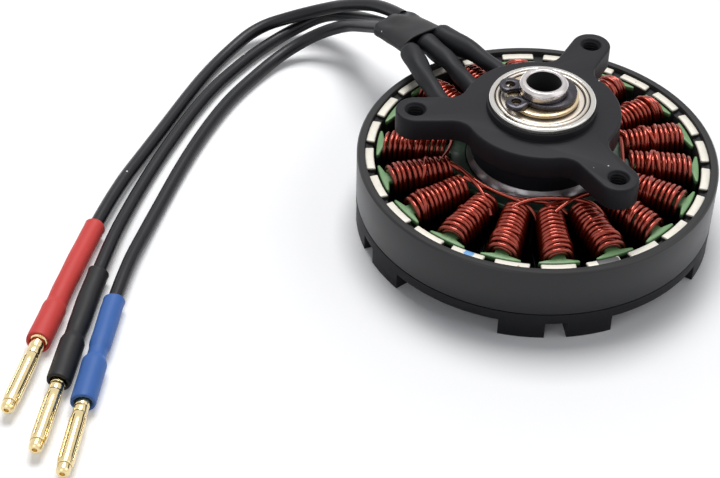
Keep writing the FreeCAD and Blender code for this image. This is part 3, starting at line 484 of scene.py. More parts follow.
def finish_for(slot):
    """The finish of one of the record's material slots."""
    hues = bpy.context.scene.motor_colours
    seat_metal = band(
        13.9, 15.05, COLUMN_LOW - 1.56, COLUMN_LOW + 0.03, "a8a8ac", roughness=0.3, metallic=1.0
    )
    # Painted shade: the shaft's bore is painted near black and matte, as if in shadow.
    painted_bore_shade = band(-1, 3.6, SHAFT_LOW - 1, SHAFT_TOP - 0.25, "0c0c0e", roughness=0.9, metallic=0.0)
    # Painted shade: the shield's groove and its outer edge below its top are painted dark.
    painted_groove_shade = band(8.6, 9.9, MOUNT_TOP - 1, MOUNT_TOP - 0.32, "2a2826", roughness=0.6, metallic=0.5)
    # Painted shade: the copper is painted darker downwards from 18.7 mm over 4 mm, where the coils shade each
    # other.
    painted_wire_shade = band(-20, 60, -20, 18.7, "170503", soft=4.0)
    # Painted shade: the core is painted near black below its top face, in the slots between the coils.
    painted_core_shade = band(-1, 60, -1, CORE_TOP - 0.35, "101a13", soft=0.7)
    # Painted shade: the core's top near its inner ring, under the coils' heads, is painted a darker green.
    painted_inner_core_shade = band(-1, 20.5, CORE_TOP - 1, CORE_TOP + 1, "213c29", soft=0.9)
    # Painted shade: the magnets are painted dark and matte below their top face.
    painted_magnet_shade = band(-1, 60, -1, MAGNET_TOP - 0.3, "1c1a18", soft=0.15, roughness=0.7)
    ring_rim = band(-1, BELL_RADIUS - 0.35, RING_LOW - 1, RING_TOP + 1, "0b0b0d", roughness=0.7)
    builders = {
        "black_anodise": lambda: finish(
            slot, hues.anodise, 0.5, shade=0.2, spread=0.1, grain=5200.0, patch=60.0, bump=0.2,
            depth=0.00003, specks=0.003, bands=[seat_metal], specular_ior_level=0.15),
        "ring_black": lambda: finish(
            slot, hues.ring_coat, 0.34, shade=0.2, spread=0.12, grain=2600.0, patch=45.0, bump=0.12,
            depth=0.00003, specks=0.003, bands=[ring_rim], specular_ior_level=0.45),
        "magnet_nickel": lambda: finish(
            slot, hues.magnet, 0.5, metallic=0.1, shade=0.25, spread=0.2, grain=1800.0, patch=700.0,
            bump=0.3, depth=0.00005, specks=0.12, speck_colour=(0.3, 0.26, 0.2, 1),
            dabs=magnet_dabs(), bands=[painted_magnet_shade]),
        "core_green": lambda: finish(
            slot, hues.powder_coat, 0.42, shade=0.4, spread=0.2, grain=900.0, patch=260.0,
            bump=0.3, depth=0.0001, specks=0.02, speck_colour=(0.03, 0.08, 0.03, 1),
            bands=[painted_inner_core_shade, painted_core_shade]),
        "copper_enamel": lambda: finish(
            slot, hues.enamel, 0.19, metallic=0.62, shade=0.3, spread=0.1, grain=1500.0, patch=330.0,
            bump=0.03, depth=0.00002, bands=[painted_wire_shade], coat_weight=0.6,
            coat_roughness=0.1, specular_ior_level=0.25),
        "bearing_steel": lambda: finish(
            slot, hues.steel, 0.16, metallic=1.0, skin="turning", shade=0.2, spread=0.12, grain=9000.0,
            patch=90.0, bump=0.1, depth=0.00001),
        "shield_steel": lambda: finish(
            slot, tone("b8b0a6"), 0.34, metallic=0.85, skin="turning", shade=0.2, spread=0.1,
            grain=6000.0, patch=90.0, bump=0.1, depth=0.00001, bands=[painted_groove_shade]),
        "cage_steel": lambda: finish(slot, tone("a8a49c"), 0.35, metallic=1.0, shade=0.2, grain=3000.0),
        "shaft_steel": lambda: finish(
            slot, tone("bdb8b8"), 0.24, metallic=1.0, skin="turning", shade=0.3, spread=0.2, grain=7000.0,
            patch=120.0, bump=0.15, depth=0.00001, bands=[painted_bore_shade]),
        "spring_steel": lambda: finish(
            slot, tone("3c3a3f"), 0.26, metallic=0.8, shade=0.3, spread=0.2, grain=4000.0, patch=300.0,
            bump=0.15, depth=0.00002),
        "shim_brass": lambda: finish(
            slot, hues.brass, 0.24, metallic=1.0, skin="turning", shade=0.25, spread=0.15, grain=6000.0,
            patch=150.0, bump=0.15, depth=0.00001),
        "screw_black": lambda: finish(slot, tone("202022"), 0.4, metallic=0.6, shade=0.2, grain=4000.0),
        "tail_sleeving": lambda: finish(
            slot, tone("111216"), 0.55, skin="braid", shade=0.35, spread=0.15, grain=7000.0, patch=200.0,
            bump=0.25, depth=0.00004, specular_ior_level=0.25),
        "shrink_black": lambda: finish(
            slot, hues.shrink_black, 0.5, shade=0.3, spread=0.15, grain=1100.0, patch=150.0, bump=0.2,
            depth=0.00006, specks=0.006, specular_ior_level=0.28),
        "shrink_red": lambda: finish(
            slot, hues.shrink_red, 0.5, shade=0.22, spread=0.12, grain=1100.0, patch=150.0, bump=0.2,
            depth=0.00006, specular_ior_level=0.28),
        "shrink_blue": lambda: finish(
            slot, hues.shrink_blue, 0.5, shade=0.22, spread=0.12, grain=1100.0, patch=150.0, bump=0.2,
            depth=0.00006, specular_ior_level=0.28),
        "lead_rubber": lambda: finish(
            slot, hues.silicone, 0.36, shade=0.25, spread=0.18, grain=1600.0, patch=120.0, bump=0.14,
            depth=0.00005, specks=0.01, specular_ior_level=0.3),
        "gold_plate": lambda: finish(
            slot, hues.gold, 0.13, metallic=1.0, shade=0.15, spread=0.1, grain=2500.0, patch=300.0,
            bump=0.08, depth=0.00002),
    }
    return builders[slot]()


# ---------------------------------------------------------------- mesh helpers


def show(name, data, slot, body, nodes=()):
    """Adds a finished piece: its material, the body that it rides on and the nodes it stands for."""
    data.materials.append(finish_for(slot))
    piece = bpy.data.objects.new(name, data)
    bpy.context.scene.collection.objects.link(piece)
    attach(piece, body)
    if nodes:
        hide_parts(*nodes)
    return piece


def as_mesh(name, form, sharp=35):
    """Turns a bmesh into a mesh whose edges are sharp above an angle."""
    mesh = bpy.data.meshes.new(name)
    form.to_mesh(mesh)
    form.free()
    mesh.shade_smooth()
    mesh.set_sharp_from_angle(angle=math.radians(sharp))
    return mesh


def soften(form, width, angle=28, segments=2):
    """Bevels every edge that turns by more than an angle."""
    crisp = [e for e in form.edges if e.is_manifold and e.calc_face_angle(0) > math.radians(angle)]
    bmesh.ops.bevel(
        form, geom=crisp, offset=width, offset_type="OFFSET", segments=segments, profile=0.5,
        affect="EDGES", clamp_overlap=True, material=-1,
    )


def copied(node):
    """A clean copy of a node's mesh, without its loose doubles and flat facets."""
    form = bmesh.new()
    form.from_mesh(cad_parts[node].data)
    bmesh.ops.remove_doubles(form, verts=form.verts, dist=0.002 * MM)
    bmesh.ops.dissolve_limit(form, angle_limit=math.radians(0.8), verts=form.verts, edges=form.edges)
    return form


def turned(points, soft=0.12, segments=160, rounds=2):
    """A closed outline of (radius, height) points, its corners rounded, spun about the shaft's axis."""
    form = bmesh.new()
    loop = [form.verts.new((radius * MM, 0, height * MM)) for radius, height in points]
    for start, end in zip(loop, loop[1:] + loop[:1]):
        form.edges.new((start, end))
    corners = [v for v in loop if v.co.x > 1e-7]
    bmesh.ops.bevel(
        form, geom=corners, offset=soft * MM, offset_type="OFFSET", segments=rounds, profile=0.5,
        affect="VERTICES", clamp_overlap=True, material=-1,
    )
    bmesh.ops.spin(
        form, geom=form.verts[:] + form.edges[:], cent=(0, 0, 0), axis=(0, 0, 1), angle=FULL_TURN,
        steps=segments, use_merge=True, use_duplicate=False,
    )
    bmesh.ops.remove_doubles(form, verts=form.verts, dist=1e-7)
    bmesh.ops.recalc_face_normals(form, faces=form.faces)
    return form


def wrapped(rows, columns, place, closed=True):
    """A grid that is wrapped to place(along, around), both from 0 to 1, with that UV map."""
    form = bmesh.new()
    form.loops.layers.uv.new("UVMap")
    bmesh.ops.create_grid(form, x_segments=rows, y_segments=columns, size=1, calc_uvs=True)
    for vert in form.verts:
        vert.co = place((vert.co.x + 1) / 2, (vert.co.y + 1) / 2)
    if closed:
        bmesh.ops.remove_doubles(form, verts=form.verts, dist=1e-7)
    bmesh.ops.recalc_face_normals(form, faces=form.faces)
    return form


def spread_uv(form, long, round_):
    """Scales a wrapped grid's UV map to metres along and around."""
    layer = form.loops.layers.uv.active
    for face in form.faces:
        for loop in face.loops:
            loop[layer].uv = (loop[layer].uv[0] * long, loop[layer].uv[1] * round_)


def wire_curve(name, diameter, rounds=2, steps=2):
    """An empty curve whose splines are round wires."""
    curve = bpy.data.curves.new(name, "CURVE")
    curve.dimensions = "3D"
    curve.bevel_depth = diameter / 2
    curve.bevel_resolution = rounds
    curve.resolution_u = steps
    curve.use_fill_caps = True
    return curve


def add_route(curve, points, order=3):
    """Adds one NURBS spline through a route's control points, given in metres."""
    spline = curve.splines.new("NURBS")
    spline.points.add(len(points) - 1)
    for spot, point in zip(spline.points, points):
        spot.co = (*point, 1)
    spline.order_u = order
    spline.use_endpoint_u = True
    return spline


class Route:
    """A cord's smooth line, as points with their distances from its start and steady frames."""

    def __init__(self, points):
        curve = bpy.data.curves.new("route", "CURVE")
        curve.dimensions = "3D"
        curve.resolution_u = 24
        add_route(curve, [Vector(point) * MM for point in points])
        holder = bpy.data.objects.new("route", curve)
        mesh = bpy.data.meshes.new_from_object(holder)
        self.points = [v.co.copy() for v in mesh.vertices]
        bpy.data.meshes.remove(mesh)
        bpy.data.objects.remove(holder)
        bpy.data.curves.remove(curve)
        self.travel = [0.0]
        for before, after in zip(self.points, self.points[1:]):
            self.travel.append(self.travel[-1] + (after - before).length)
        self.length = self.travel[-1]

    def at(self, distance):
        """The place and direction at a distance. Beyond its ends the line runs straight on."""
        last = len(self.points) - 1
        i = next((i for i in range(last) if self.travel[i + 1] >= distance), last - 1)
        start, end = self.points[i], self.points[i + 1]
        along = (end - start).normalized()
        return start + along * (distance - self.travel[i]), along

    def frame_at(self, distance):
        """A matrix whose Z runs along the line, with X level."""
        place, along = self.at(distance)
        across = along.cross(Vector((0, 0, 1))).normalized()
        matrix = Matrix((across, across.cross(-along), along)).transposed().to_4x4()
        matrix.translation = place
        return matrix


def polar(turn, radius, height):
    """A point at an angle in degrees, a radius and a height in millimetres, given in metres."""
    angle = math.radians(turn)
    return Vector((radius * math.cos(angle), radius * math.sin(angle), height)) * MM


# ---------------------------------------------------------------- bell


def build_bell(sizes):
    soft = sizes.edge_softness
    ring = turned(
        [
            (BELL_RADIUS - RING_WALL, RING_LOW),
            (BELL_RADIUS - RING_SEAM, RING_LOW),
            (BELL_RADIUS, RING_LOW + RING_SEAM),
            (BELL_RADIUS, RING_TOP - RING_EDGE),
            (BELL_RADIUS - RING_EDGE, RING_TOP),
            (BELL_RADIUS - RING_WALL, RING_TOP),
        ],
        segments=256,
    )
    show("bell_ring", as_mesh("bell_ring", ring), "ring_black", "rotor", ["flux_ring"])
    face = copied("bell_face")
    soften(face, soft)
    show("bell_front", as_mesh("bell_front", face), "black_anodise", "rotor", ["bell_face"])
    bedding = turned(
        [
            (BELL_RADIUS - 3.3, RING_LOW + 0.7),
            (BELL_RADIUS - 1.72, RING_LOW + 0.7),
            (BELL_RADIUS - 1.72, RING_TOP - 1.3),
            (BELL_RADIUS - 2.6, RING_TOP - 1.7),
            (BELL_RADIUS - 3.3, RING_TOP - 1.7),
        ],
        segments=256,
    )
    show("magnet_bedding", as_mesh("magnet_bedding", bedding), "ring_black", "rotor")
    for group in ("north", "south"):
        blocks = copied(f"{group}_magnets")
        soften(blocks, 2.4 * soft, segments=3)
        name = f"magnets_{group}"
        show(name, as_mesh(name, blocks), "magnet_nickel", "rotor", [f"{group}_magnets"])


# ---------------------------------------------------------------- stator


def build_core(sizes):
    core = copied("stator_core")
    soften(core, sizes.coat_softness, segments=3)
    show("coated_core", as_mesh("coated_core", core, 60), "core_green", "stator", ["stator_core"])


COIL_START = 19.35
COIL_END = 32.6
COIL_LAYERS = [
    # fewer turns than the outer layer, half widths at both ends, heights, play, fall at the tip
    {"fewer": 1, "halves": (2.1, 2.3), "heights": (5.9, 17.75), "loose": 0.03, "droop": 0.5},
    {"fewer": 0, "halves": (2.72, 3.2), "heights": (5.0, 18.7), "loose": 0.1, "droop": 0.9},
]
POINTS_PER_TURN = 14


def coil_turn_point(x, half, low, top, angle, lift):
    """A point of a winding's rounded loop about a tooth, at an angle round the loop."""
    side, rise = math.cos(angle), math.sin(angle)
    middle = (low + top) / 2
    y = half * 1.05 * math.copysign(abs(side) ** 0.55, side)
    z = middle + (top - middle + lift) * 1.03 * math.copysign(abs(rise) ** 0.72, rise)
    return x, y, z


def ease(value):
    value = min(1, max(0, value))
    return value * value * (3 - 2 * value)


def coil_layer(layer, turns, draw):
    """The control points of one layer of a coil, with the tooth along X, in millimetres."""
    points = []
    pitch = (COIL_END - COIL_START) / turns
    for turn in range(turns):
        nudge = draw.uniform(-1, 1) * layer["loose"]
        lift = abs(draw.gauss(0, 1)) * layer["loose"]
        skew = draw.uniform(-1, 1) * layer["loose"]
        for step in range(POINTS_PER_TURN):
            share = step / POINTS_PER_TURN
            angle = -math.pi / 2 + FULL_TURN * share
            over = 0.5 * ease((share - 0.38) / 0.24) + 0.5 * ease((share - 0.88) / 0.24)
            x = COIL_START + pitch * (turn + over) + nudge + skew * math.cos(angle)
            out = (x - COIL_START) / (COIL_END - COIL_START)
            half = layer["halves"][0] + (layer["halves"][1] - layer["halves"][0]) * out
            droop = layer["droop"] * ease((out - 0.8) / 0.2)
            low, top = layer["heights"]
            points.append(coil_turn_point(x, half, low + droop, top - droop, angle, lift))
    return points


def stray_turn(draw):
    """A turn that crosses over the others on top of a coil."""
    start = draw.uniform(20.5, 29.5)
    end = min(31.6, max(19.6, start + draw.choice((-1, 1)) * draw.uniform(1.4, 3.6)))
    layer = COIL_LAYERS[1]
    half = layer["halves"][0] + 0.5 * (layer["halves"][1] - layer["halves"][0]) + 0.25
    points = []
    for step in range(9):
        share = step / 8
        angle = math.radians(-20 + 220 * share)
        x = start + (end - start) * ease(share)
        points.append(coil_turn_point(x, half, layer["heights"][0], layer["heights"][1], angle, 0.45))
    return points


# Wires between the coils, as (angle, radius, height) points in degrees and millimetres.
LINK_WIRES = [
    [
        (199, 20.2, 18.2), (206, 18.9, 18.9), (218, 18.1, 19.2), (230, 18.9, 19.7),
        (242, 20.4, 19.6), (249, 22.4, 16.6),
    ],
    [
        (204, 19.6, 18.6), (214, 18.3, 19.0), (229, 18.0, 18.9), (246, 17.5, 18.5),
        (262, 18.0, 18.6), (271, 19.4, 18.2), (274, 20.6, 15.5),
    ],
    [
        (222, 19.4, 19.4), (233, 17.9, 18.5), (248, 17.0, 18.0), (262, 16.9, 18.1),
        (275, 17.4, 18.4), (285, 18.4, 18.9), (291, 20.2, 17.2),
    ],
    [
        (259, 20.8, 18.8), (266, 18.9, 19.9), (277, 18.3, 20.2), (289, 18.5, 20.0),
        (299, 19.4, 19.9), (308, 21.6, 18.9), (311, 23.6, 15.6),
    ],
    [
        (278, 19.6, 19.2), (290, 18.0, 18.9), (303, 17.8, 18.7), (318, 18.3, 18.6),
        (331, 19.4, 18.2),
    ],
    [
        (283, 21.3, 19.0), (292, 19.6, 20.3), (302, 18.6, 20.2), (314, 18.8, 19.6),
        (322, 20.2, 18.2),
    ],
    [
        (340, 19.6, 18.6), (352, 18.1, 18.5), (8, 17.9, 18.5), (22, 18.6, 18.4),
        (31, 19.8, 17.0),
    ],
    [
        (20, 19.6, 18.8), (34, 18.0, 18.6), (50, 17.8, 18.4), (62, 18.6, 18.2),
        (71, 19.8, 17.0),
    ],
    [
        (60, 19.8, 18.8), (74, 18.1, 18.6), (90, 17.9, 18.6), (104, 18.6, 18.4),
        (112, 19.8, 17.0),
    ],
    [
        (118, 19.8, 18.6), (134, 18.0, 18.4), (150, 17.9, 18.4), (164, 18.6, 18.2),
        (172, 19.8, 17.0),
    ],
    [
        (160, 19.8, 18.8), (174, 18.1, 18.7), (188, 18.2, 18.8), (196, 19.4, 18.9),
        (202, 21.5, 18.6),
    ],
]
# Where each phase's three strands rise to the blue, the black and the red tail.
RISER_TURNS = (164, 137, 112)


def build_windings(sizes):
    outer_turns = sizes.coil_turns
    for phase, letter in enumerate("uvw"):
        curve = wire_curve(f"coils_{letter}", sizes.wire_diameter)
        for tooth in range(phase, TOOTH_COUNT, 3):
            draw = random.Random(40 + tooth)
            spin = Matrix.Rotation(math.radians(TOOTH_TURN + tooth * 360 / TOOTH_COUNT), 3, "Z")
            mirror = -1 if tooth % 2 else 1
            routes = [coil_layer(layer, outer_turns - layer["fewer"], draw) for layer in COIL_LAYERS]
            routes += [stray_turn(draw) for _ in range(draw.choice((1, 2, 2, 3)))]
            for route in routes:
                points = [spin @ Vector((x, y * mirror, z)) * MM for x, y, z in route]
                add_route(curve, points, order=4)
        show(f"coils_{letter}", curve, "copper_enamel", "stator", [f"winding_phase_{letter}"])
    links = wire_curve("coil_links", sizes.wire_diameter, steps=6)
    for wire in LINK_WIRES:
        add_route(links, [polar(*spot) for spot in wire], order=4)
    for turn in RISER_TURNS:
        for strand in range(3):
            foot = turn - 5 + 5 * strand
            rise = [(foot, 18.6, 17.2), (foot, 17.2, 18.0), (turn, 16.4, 19.2), (turn, 16.0, 21.0)]
            add_route(links, [polar(*spot) for spot in rise], order=4)
    show("coil_links", links, "copper_enamel", "stator", ["winding_links"])


# ---------------------------------------------------------------- mount


THREAD_LOW = 24.2
THREAD_TURNS = 5.6
THREAD_ROOT = 2.0
THREAD_CREST = 1.66
# The tapped holes' walls lie between these radii in the solids, and move out to the thread's root.
TAP_WALL = (1.6, 1.7)
TAP_WIDER = 0.3


def build_mount(sizes):
    form = copied("motor_mount")
    holes = [polar(turn, ARM_REACH, 0) for turn in ARM_TURNS]
    for vert in form.verts:
        for hole in holes:
            away = Vector((vert.co.x - hole.x, vert.co.y - hole.y, 0))
            if TAP_WALL[0] * MM < away.length < TAP_WALL[1] * MM:
                vert.co += away.normalized() * TAP_WIDER * MM
    soften(form, sizes.edge_softness)
    show("mount_body", as_mesh("mount_body", form), "black_anodise", "stator", ["motor_mount"])
    thread = bmesh.new()
    pitch = sizes.thread_pitch
    low, root, crest = THREAD_LOW * MM, THREAD_ROOT * MM, THREAD_CREST * MM
    profile = [(root, 0), (crest, pitch * 0.42), (crest, pitch * 0.58), (root, pitch)]
    steps = round(24 * THREAD_TURNS)
    for hole in holes:
        verts = [thread.verts.new((hole.x + x, hole.y, low + z)) for x, z in profile]
        edges = [thread.edges.new(pair) for pair in zip(verts, verts[1:])]
        bmesh.ops.spin(
            thread, geom=verts + edges, cent=hole, axis=(0, 0, 1),
            dvec=(0, 0, pitch * THREAD_TURNS / steps), angle=FULL_TURN * THREAD_TURNS, steps=steps,
            use_merge=False, use_duplicate=False,
        )
    bmesh.ops.remove_doubles(thread, verts=thread.verts, dist=1e-6)
    bmesh.ops.recalc_face_normals(thread, faces=thread.faces)
    bmesh.ops.reverse_faces(thread, faces=thread.faces)
    show("arm_threads", as_mesh("arm_threads", thread, 60), "black_anodise", "stator")


# ---------------------------------------------------------------- bearings and shaft


def build_bearings():
    top = MOUNT_TOP
    outer = turned(
        [
            (9.4, BEARING_LOW),
            (BEARING_RADIUS, BEARING_LOW),
            (BEARING_RADIUS, top - 0.3),
            (10.75, top),
            (10.0, top),
            (9.85, top - 0.2),
            (9.85, top - 0.75),
            (9.4, top - 0.75),
        ],
        soft=0.07,
    )
    show("upper_outer_ring", as_mesh("upper_outer_ring", outer, 50), "bearing_steel", "stator",
         ["upper_bearing_outer_ring"])
    shield = turned(
        [
            (7.05, top - 0.6),
            (7.15, top - 0.34),
            (8.55, top - 0.3),
            (8.7, top - 0.5),
            (8.85, top - 0.5),
            (8.95, top - 0.1),
            (9.2, top - 0.02),
            (9.55, top - 0.1),
            (9.68, top - 0.3),
            (9.7, top - 0.7),
            (7.15, top - 0.8),
        ],
        soft=0.05,
    )
    show("upper_shield", as_mesh("upper_shield", shield, 50), "shield_steel", "stator",
         ["upper_bearing_top_shield"])
    inner = turned(
        [
            (SHAFT_RADIUS, BEARING_LOW),
            (INNER_RING_RADIUS, BEARING_LOW),
            (INNER_RING_RADIUS, top),
            (SHAFT_RADIUS, top),
        ],
        soft=0.2,
    )
    show("upper_inner_ring", as_mesh("upper_inner_ring", inner, 50), "bearing_steel", "rotor",
         ["upper_bearing_inner_ring"])


CLIP_TURN = 196.0
CLIP_LUG_ANGLE = 25.5
CLIP_LUG_REACH = 6.9
# The part of the clip that counts as a lug, about the lug's hole, and how much wider it is made.
CLIP_LUG_SPAN = 1.8
CLIP_LUG_WIDER = 0.3


def build_shaft(sizes):
    outline = [
        (SHAFT_BORE, SHAFT_LOW),
        (SHAFT_RADIUS, SHAFT_LOW),
        (SHAFT_RADIUS, SHIM_TOP),
        (GROOVE_RADIUS, SHIM_TOP),
        (GROOVE_RADIUS, SHIM_TOP + GROOVE_TALL),
        (SHAFT_RADIUS, SHIM_TOP + GROOVE_TALL),
        (SHAFT_RADIUS, SHAFT_TOP - 0.55),
        (SHAFT_RADIUS - 0.55, SHAFT_TOP),
        (SHAFT_BORE + 0.25, SHAFT_TOP),
        (SHAFT_BORE, SHAFT_TOP - 0.3),
    ]
    shaft = turned(outline, soft=0.06)
    show("hollow_shaft", as_mesh("hollow_shaft", shaft, 50), "shaft_steel", "rotor", ["shaft"])
    shim = turned(
        [
            (SHAFT_RADIUS, MOUNT_TOP),
            (SHIM_RADIUS, MOUNT_TOP),
            (SHIM_RADIUS, SHIM_TOP),
            (SHAFT_RADIUS, SHIM_TOP),
        ],
        soft=0.14,
        rounds=3,
    )
    show("shim", as_mesh("shim", shim, 50), "shim_brass", "rotor", ["brass_shim"])
    clip = copied("circlip")
    for turn in (CLIP_TURN - CLIP_LUG_ANGLE, CLIP_TURN + CLIP_LUG_ANGLE):
        lug = polar(turn, CLIP_LUG_REACH, 0)
        for vert in clip.verts:
            away = Vector((vert.co.x - lug.x, vert.co.y - lug.y, 0))
            if away.length < CLIP_LUG_SPAN * MM:
                vert.co += away * CLIP_LUG_WIDER
    soften(clip, 1.4 * sizes.edge_softness)
    show("clip", as_mesh("clip", clip), "spring_steel", "rotor", ["circlip"])


HIDDEN_NODES = {
    "bell_grub_screws": "screw_black",
    "upper_bearing_bottom_shield": "shield_steel",
    "upper_bearing_balls": "bearing_steel",
    "upper_bearing_cage": "cage_steel",
    "lower_bearing_outer_ring": "bearing_steel",
    "lower_bearing_inner_ring": "bearing_steel",
    "lower_bearing_top_shield": "shield_steel",
    "lower_bearing_bottom_shield": "shield_steel",
    "lower_bearing_balls": "bearing_steel",
    "lower_bearing_cage": "cage_steel",
    "lower_spacer": "shaft_steel",
}


def refinish_nodes():
    """Gives the solids that stay as they are their finishes."""
    for name, slot in HIDDEN_NODES.items():
        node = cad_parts[name]
        node.data.materials.clear()
        node.data.materials.append(finish_for(slot))


# ---------------------------------------------------------------- cords


def build_tails(sizes):
    """The winding's three sleeved tails, a little lumpy."""
    for name, points in TAILS.items():
        route = Route(points)
        seed = Vector((len(name), 3.7, 1.3))

        def place(along, around, route=route, seed=seed, name=name):
            matrix = route.frame_at(route.length * along)
            angle = FULL_TURN * around
            lump = noise.noise(seed + Vector((along * 5.5, math.cos(angle) * 0.7, math.sin(angle) * 0.7)))
            end = ease(min(along, 1 - along) / 0.04)
            swell = TAIL_SWELLS[name] * ease((along - 0.5) / 0.35)
            radius = sizes.tail_diameter / 2 * (1.04 + 0.2 * lump + swell) * (0.8 + 0.2 * end)
            return matrix @ Vector((radius * math.cos(angle), radius * math.sin(angle), 0))

        form = wrapped(72, 28, place)
        spread_uv(form, route.length, math.pi * sizes.tail_diameter)
        bmesh.ops.holes_fill(form, edges=form.edges, sides=0)
        show(f"tail_{name}", as_mesh(f"tail_{name}", form), "tail_sleeving", "stator", [f"{name}_tail"])


BUNDLE_LENGTH = 12.6
BUNDLE_HALF_WIDE = 6.05
BUNDLE_NARROWS = 0.75
BUNDLE_HALF_THICK = 2.35
BUNDLE_WALL = 0.45


def build_bundle():
    """The flat sleeve over the joints, which sags between the leads at its far end."""
    along_axis = (BUNDLE_TOWARDS - BUNDLE_AT).normalized()
    across = along_axis.cross(Vector((0, 0, 1))).normalized()
    up = across.cross(along_axis)

    def place(share, around):
        angle = FULL_TURN * around
        wide = BUNDLE_HALF_WIDE - BUNDLE_NARROWS * share
        side = math.cos(angle)
        rise = math.sin(angle)
        x = wide * math.copysign(abs(side) ** 0.72, side)
        z = BUNDLE_HALF_THICK * math.copysign(abs(rise) ** 0.85, rise)
        grip = ease((share - 0.35) / 0.6)
        saddle = 0.55 * grip * (1 - math.cos(2 * math.pi * x / wide * 0.98)) / 2
        z -= math.copysign(saddle, rise) * abs(rise)
        wrinkle = noise.noise(Vector((share * 3.1, math.cos(angle) * 1.6, math.sin(angle) * 1.6 + 5)))
        z += wrinkle * (0.12 + 0.4 * grip)
        x += wrinkle * 0.25 * grip
        skew = 0.35 * side
        spot = BUNDLE_AT + along_axis * (BUNDLE_LENGTH * share - 0.4 + skew) + across * x + up * z
        return spot * MM

    mesh = as_mesh("bundle_shrink", wrapped(48, 72, place))
    piece = show("bundle_shrink", mesh, "shrink_black", "stator", ["bundle_sleeve"])
    wall = piece.modifiers.new("wall", "SOLIDIFY")
    wall.thickness = BUNDLE_WALL * MM
    wall.offset = -1


def build_leads(sizes):
    for name, points in LEADS.items():
        curve = wire_curve(f"lead_{name}", sizes.lead_diameter, rounds=5, steps=16)
        add_route(curve, [Vector(point) * MM for point in points])
        show(f"lead_{name}", curve, "lead_rubber", "stator", [f"{name}_lead"])


# ---------------------------------------------------------------- connectors

SHRINK_SLOTS = {"red": "shrink_red", "black": "shrink_black", "blue": "shrink_blue"}
CUP_LENGTH = 10.0
COLLAR_END = 14.0
SPRING_END = 27.0
TIP_END = 29.0


def at_lead_end(name):
    """A matrix whose Z carries a lead on from its end."""
    before, last = [Vector(point) * MM for point in LEADS[name][-2:]]
    turn = (last - before).to_track_quat("Z", "Y").to_matrix().to_4x4()
    turn.translation = last
    return turn


def sleeve_radius(distance, back, forward, waist):
    """The outside radius of a heat-shrink sleeve, in millimetres, from its lead end to its plug end."""
    on_lead = 2.2
    on_cup = 2.5
    radius = on_lead + (on_cup - on_lead) * ease((distance + 0.9) / 1.6)
    radius -= waist * ease((distance + 5.0) / 2.4) * ease((0.1 - distance) / 1.4)
    radius -= 0.14 * ease((distance - forward + 0.6) / 0.6)
    radius += 0.08 * ease((-back + 0.9 - distance) / 0.9)
    return radius


def build_sleeves(sizes):
    for name, (back, forward) in SLEEVES.items():
        route = Route(LEADS[name])
        seed = Vector((len(name) * 1.7, 0.4, 2.2))
        waist = WAISTS[name]

        def place(along, around, route=route, seed=seed, back=back, forward=forward, waist=waist):
            distance = -back + (back + forward) * along
            angle = FULL_TURN * around
            end = 1 - min(along, 1 - along) * 12
            skew = 0.3 * math.cos(angle + seed.x) * max(0, end)
            matrix = route.frame_at(route.length + (distance + skew) * MM)
            dent = noise.noise(seed + Vector((distance * 0.16, math.cos(angle), math.sin(angle))))
            radius = (sleeve_radius(distance, back, forward, waist) + 0.09 * dent) * MM
            return matrix @ Vector((radius * math.cos(angle), radius * math.sin(angle), 0))

        form = wrapped(90, 40, place)
        slot = SHRINK_SLOTS[name]
        piece = show(f"shrink_{name}", as_mesh(f"shrink_{name}", form), slot, "stator", [f"{name}_sleeve"])
        wall = piece.modifiers.new("wall", "SOLIDIFY")
        wall.thickness = sizes.shrink_wall
        wall.offset = -1


PIN_OUTLINE = [
    (0, 8.0),
    (1.55, 8.0),
    (1.55, 0.2),
    (2.05, 0.2),
    (2.05, CUP_LENGTH),
    (1.5, CUP_LENGTH + 0.1),
    (1.46, CUP_LENGTH + 0.3),
    (1.46, COLLAR_END - 2.0),
    (1.36, COLLAR_END - 1.93),
    (1.36, COLLAR_END - 1.77),
    (1.46, COLLAR_END - 1.7),
    (1.46, COLLAR_END),
    (1.0, COLLAR_END + 0.1),
    (1.0, SPRING_END),
    (1.33, SPRING_END),
    (1.36, SPRING_END + 0.15),
    (1.36, TIP_END - 0.75),
    (1.24, TIP_END - 0.3),
    (0.95, TIP_END),
    (0.5, TIP_END),
    (0.5, TIP_END - 0.8),
    (0, TIP_END - 0.8),
]
LEAF_COUNT = 4
LEAF_TURN = 0.07
LEAF_RADIUS = 1.48
LEAF_BULGE = 0.16
LEAF_WALL = 0.2


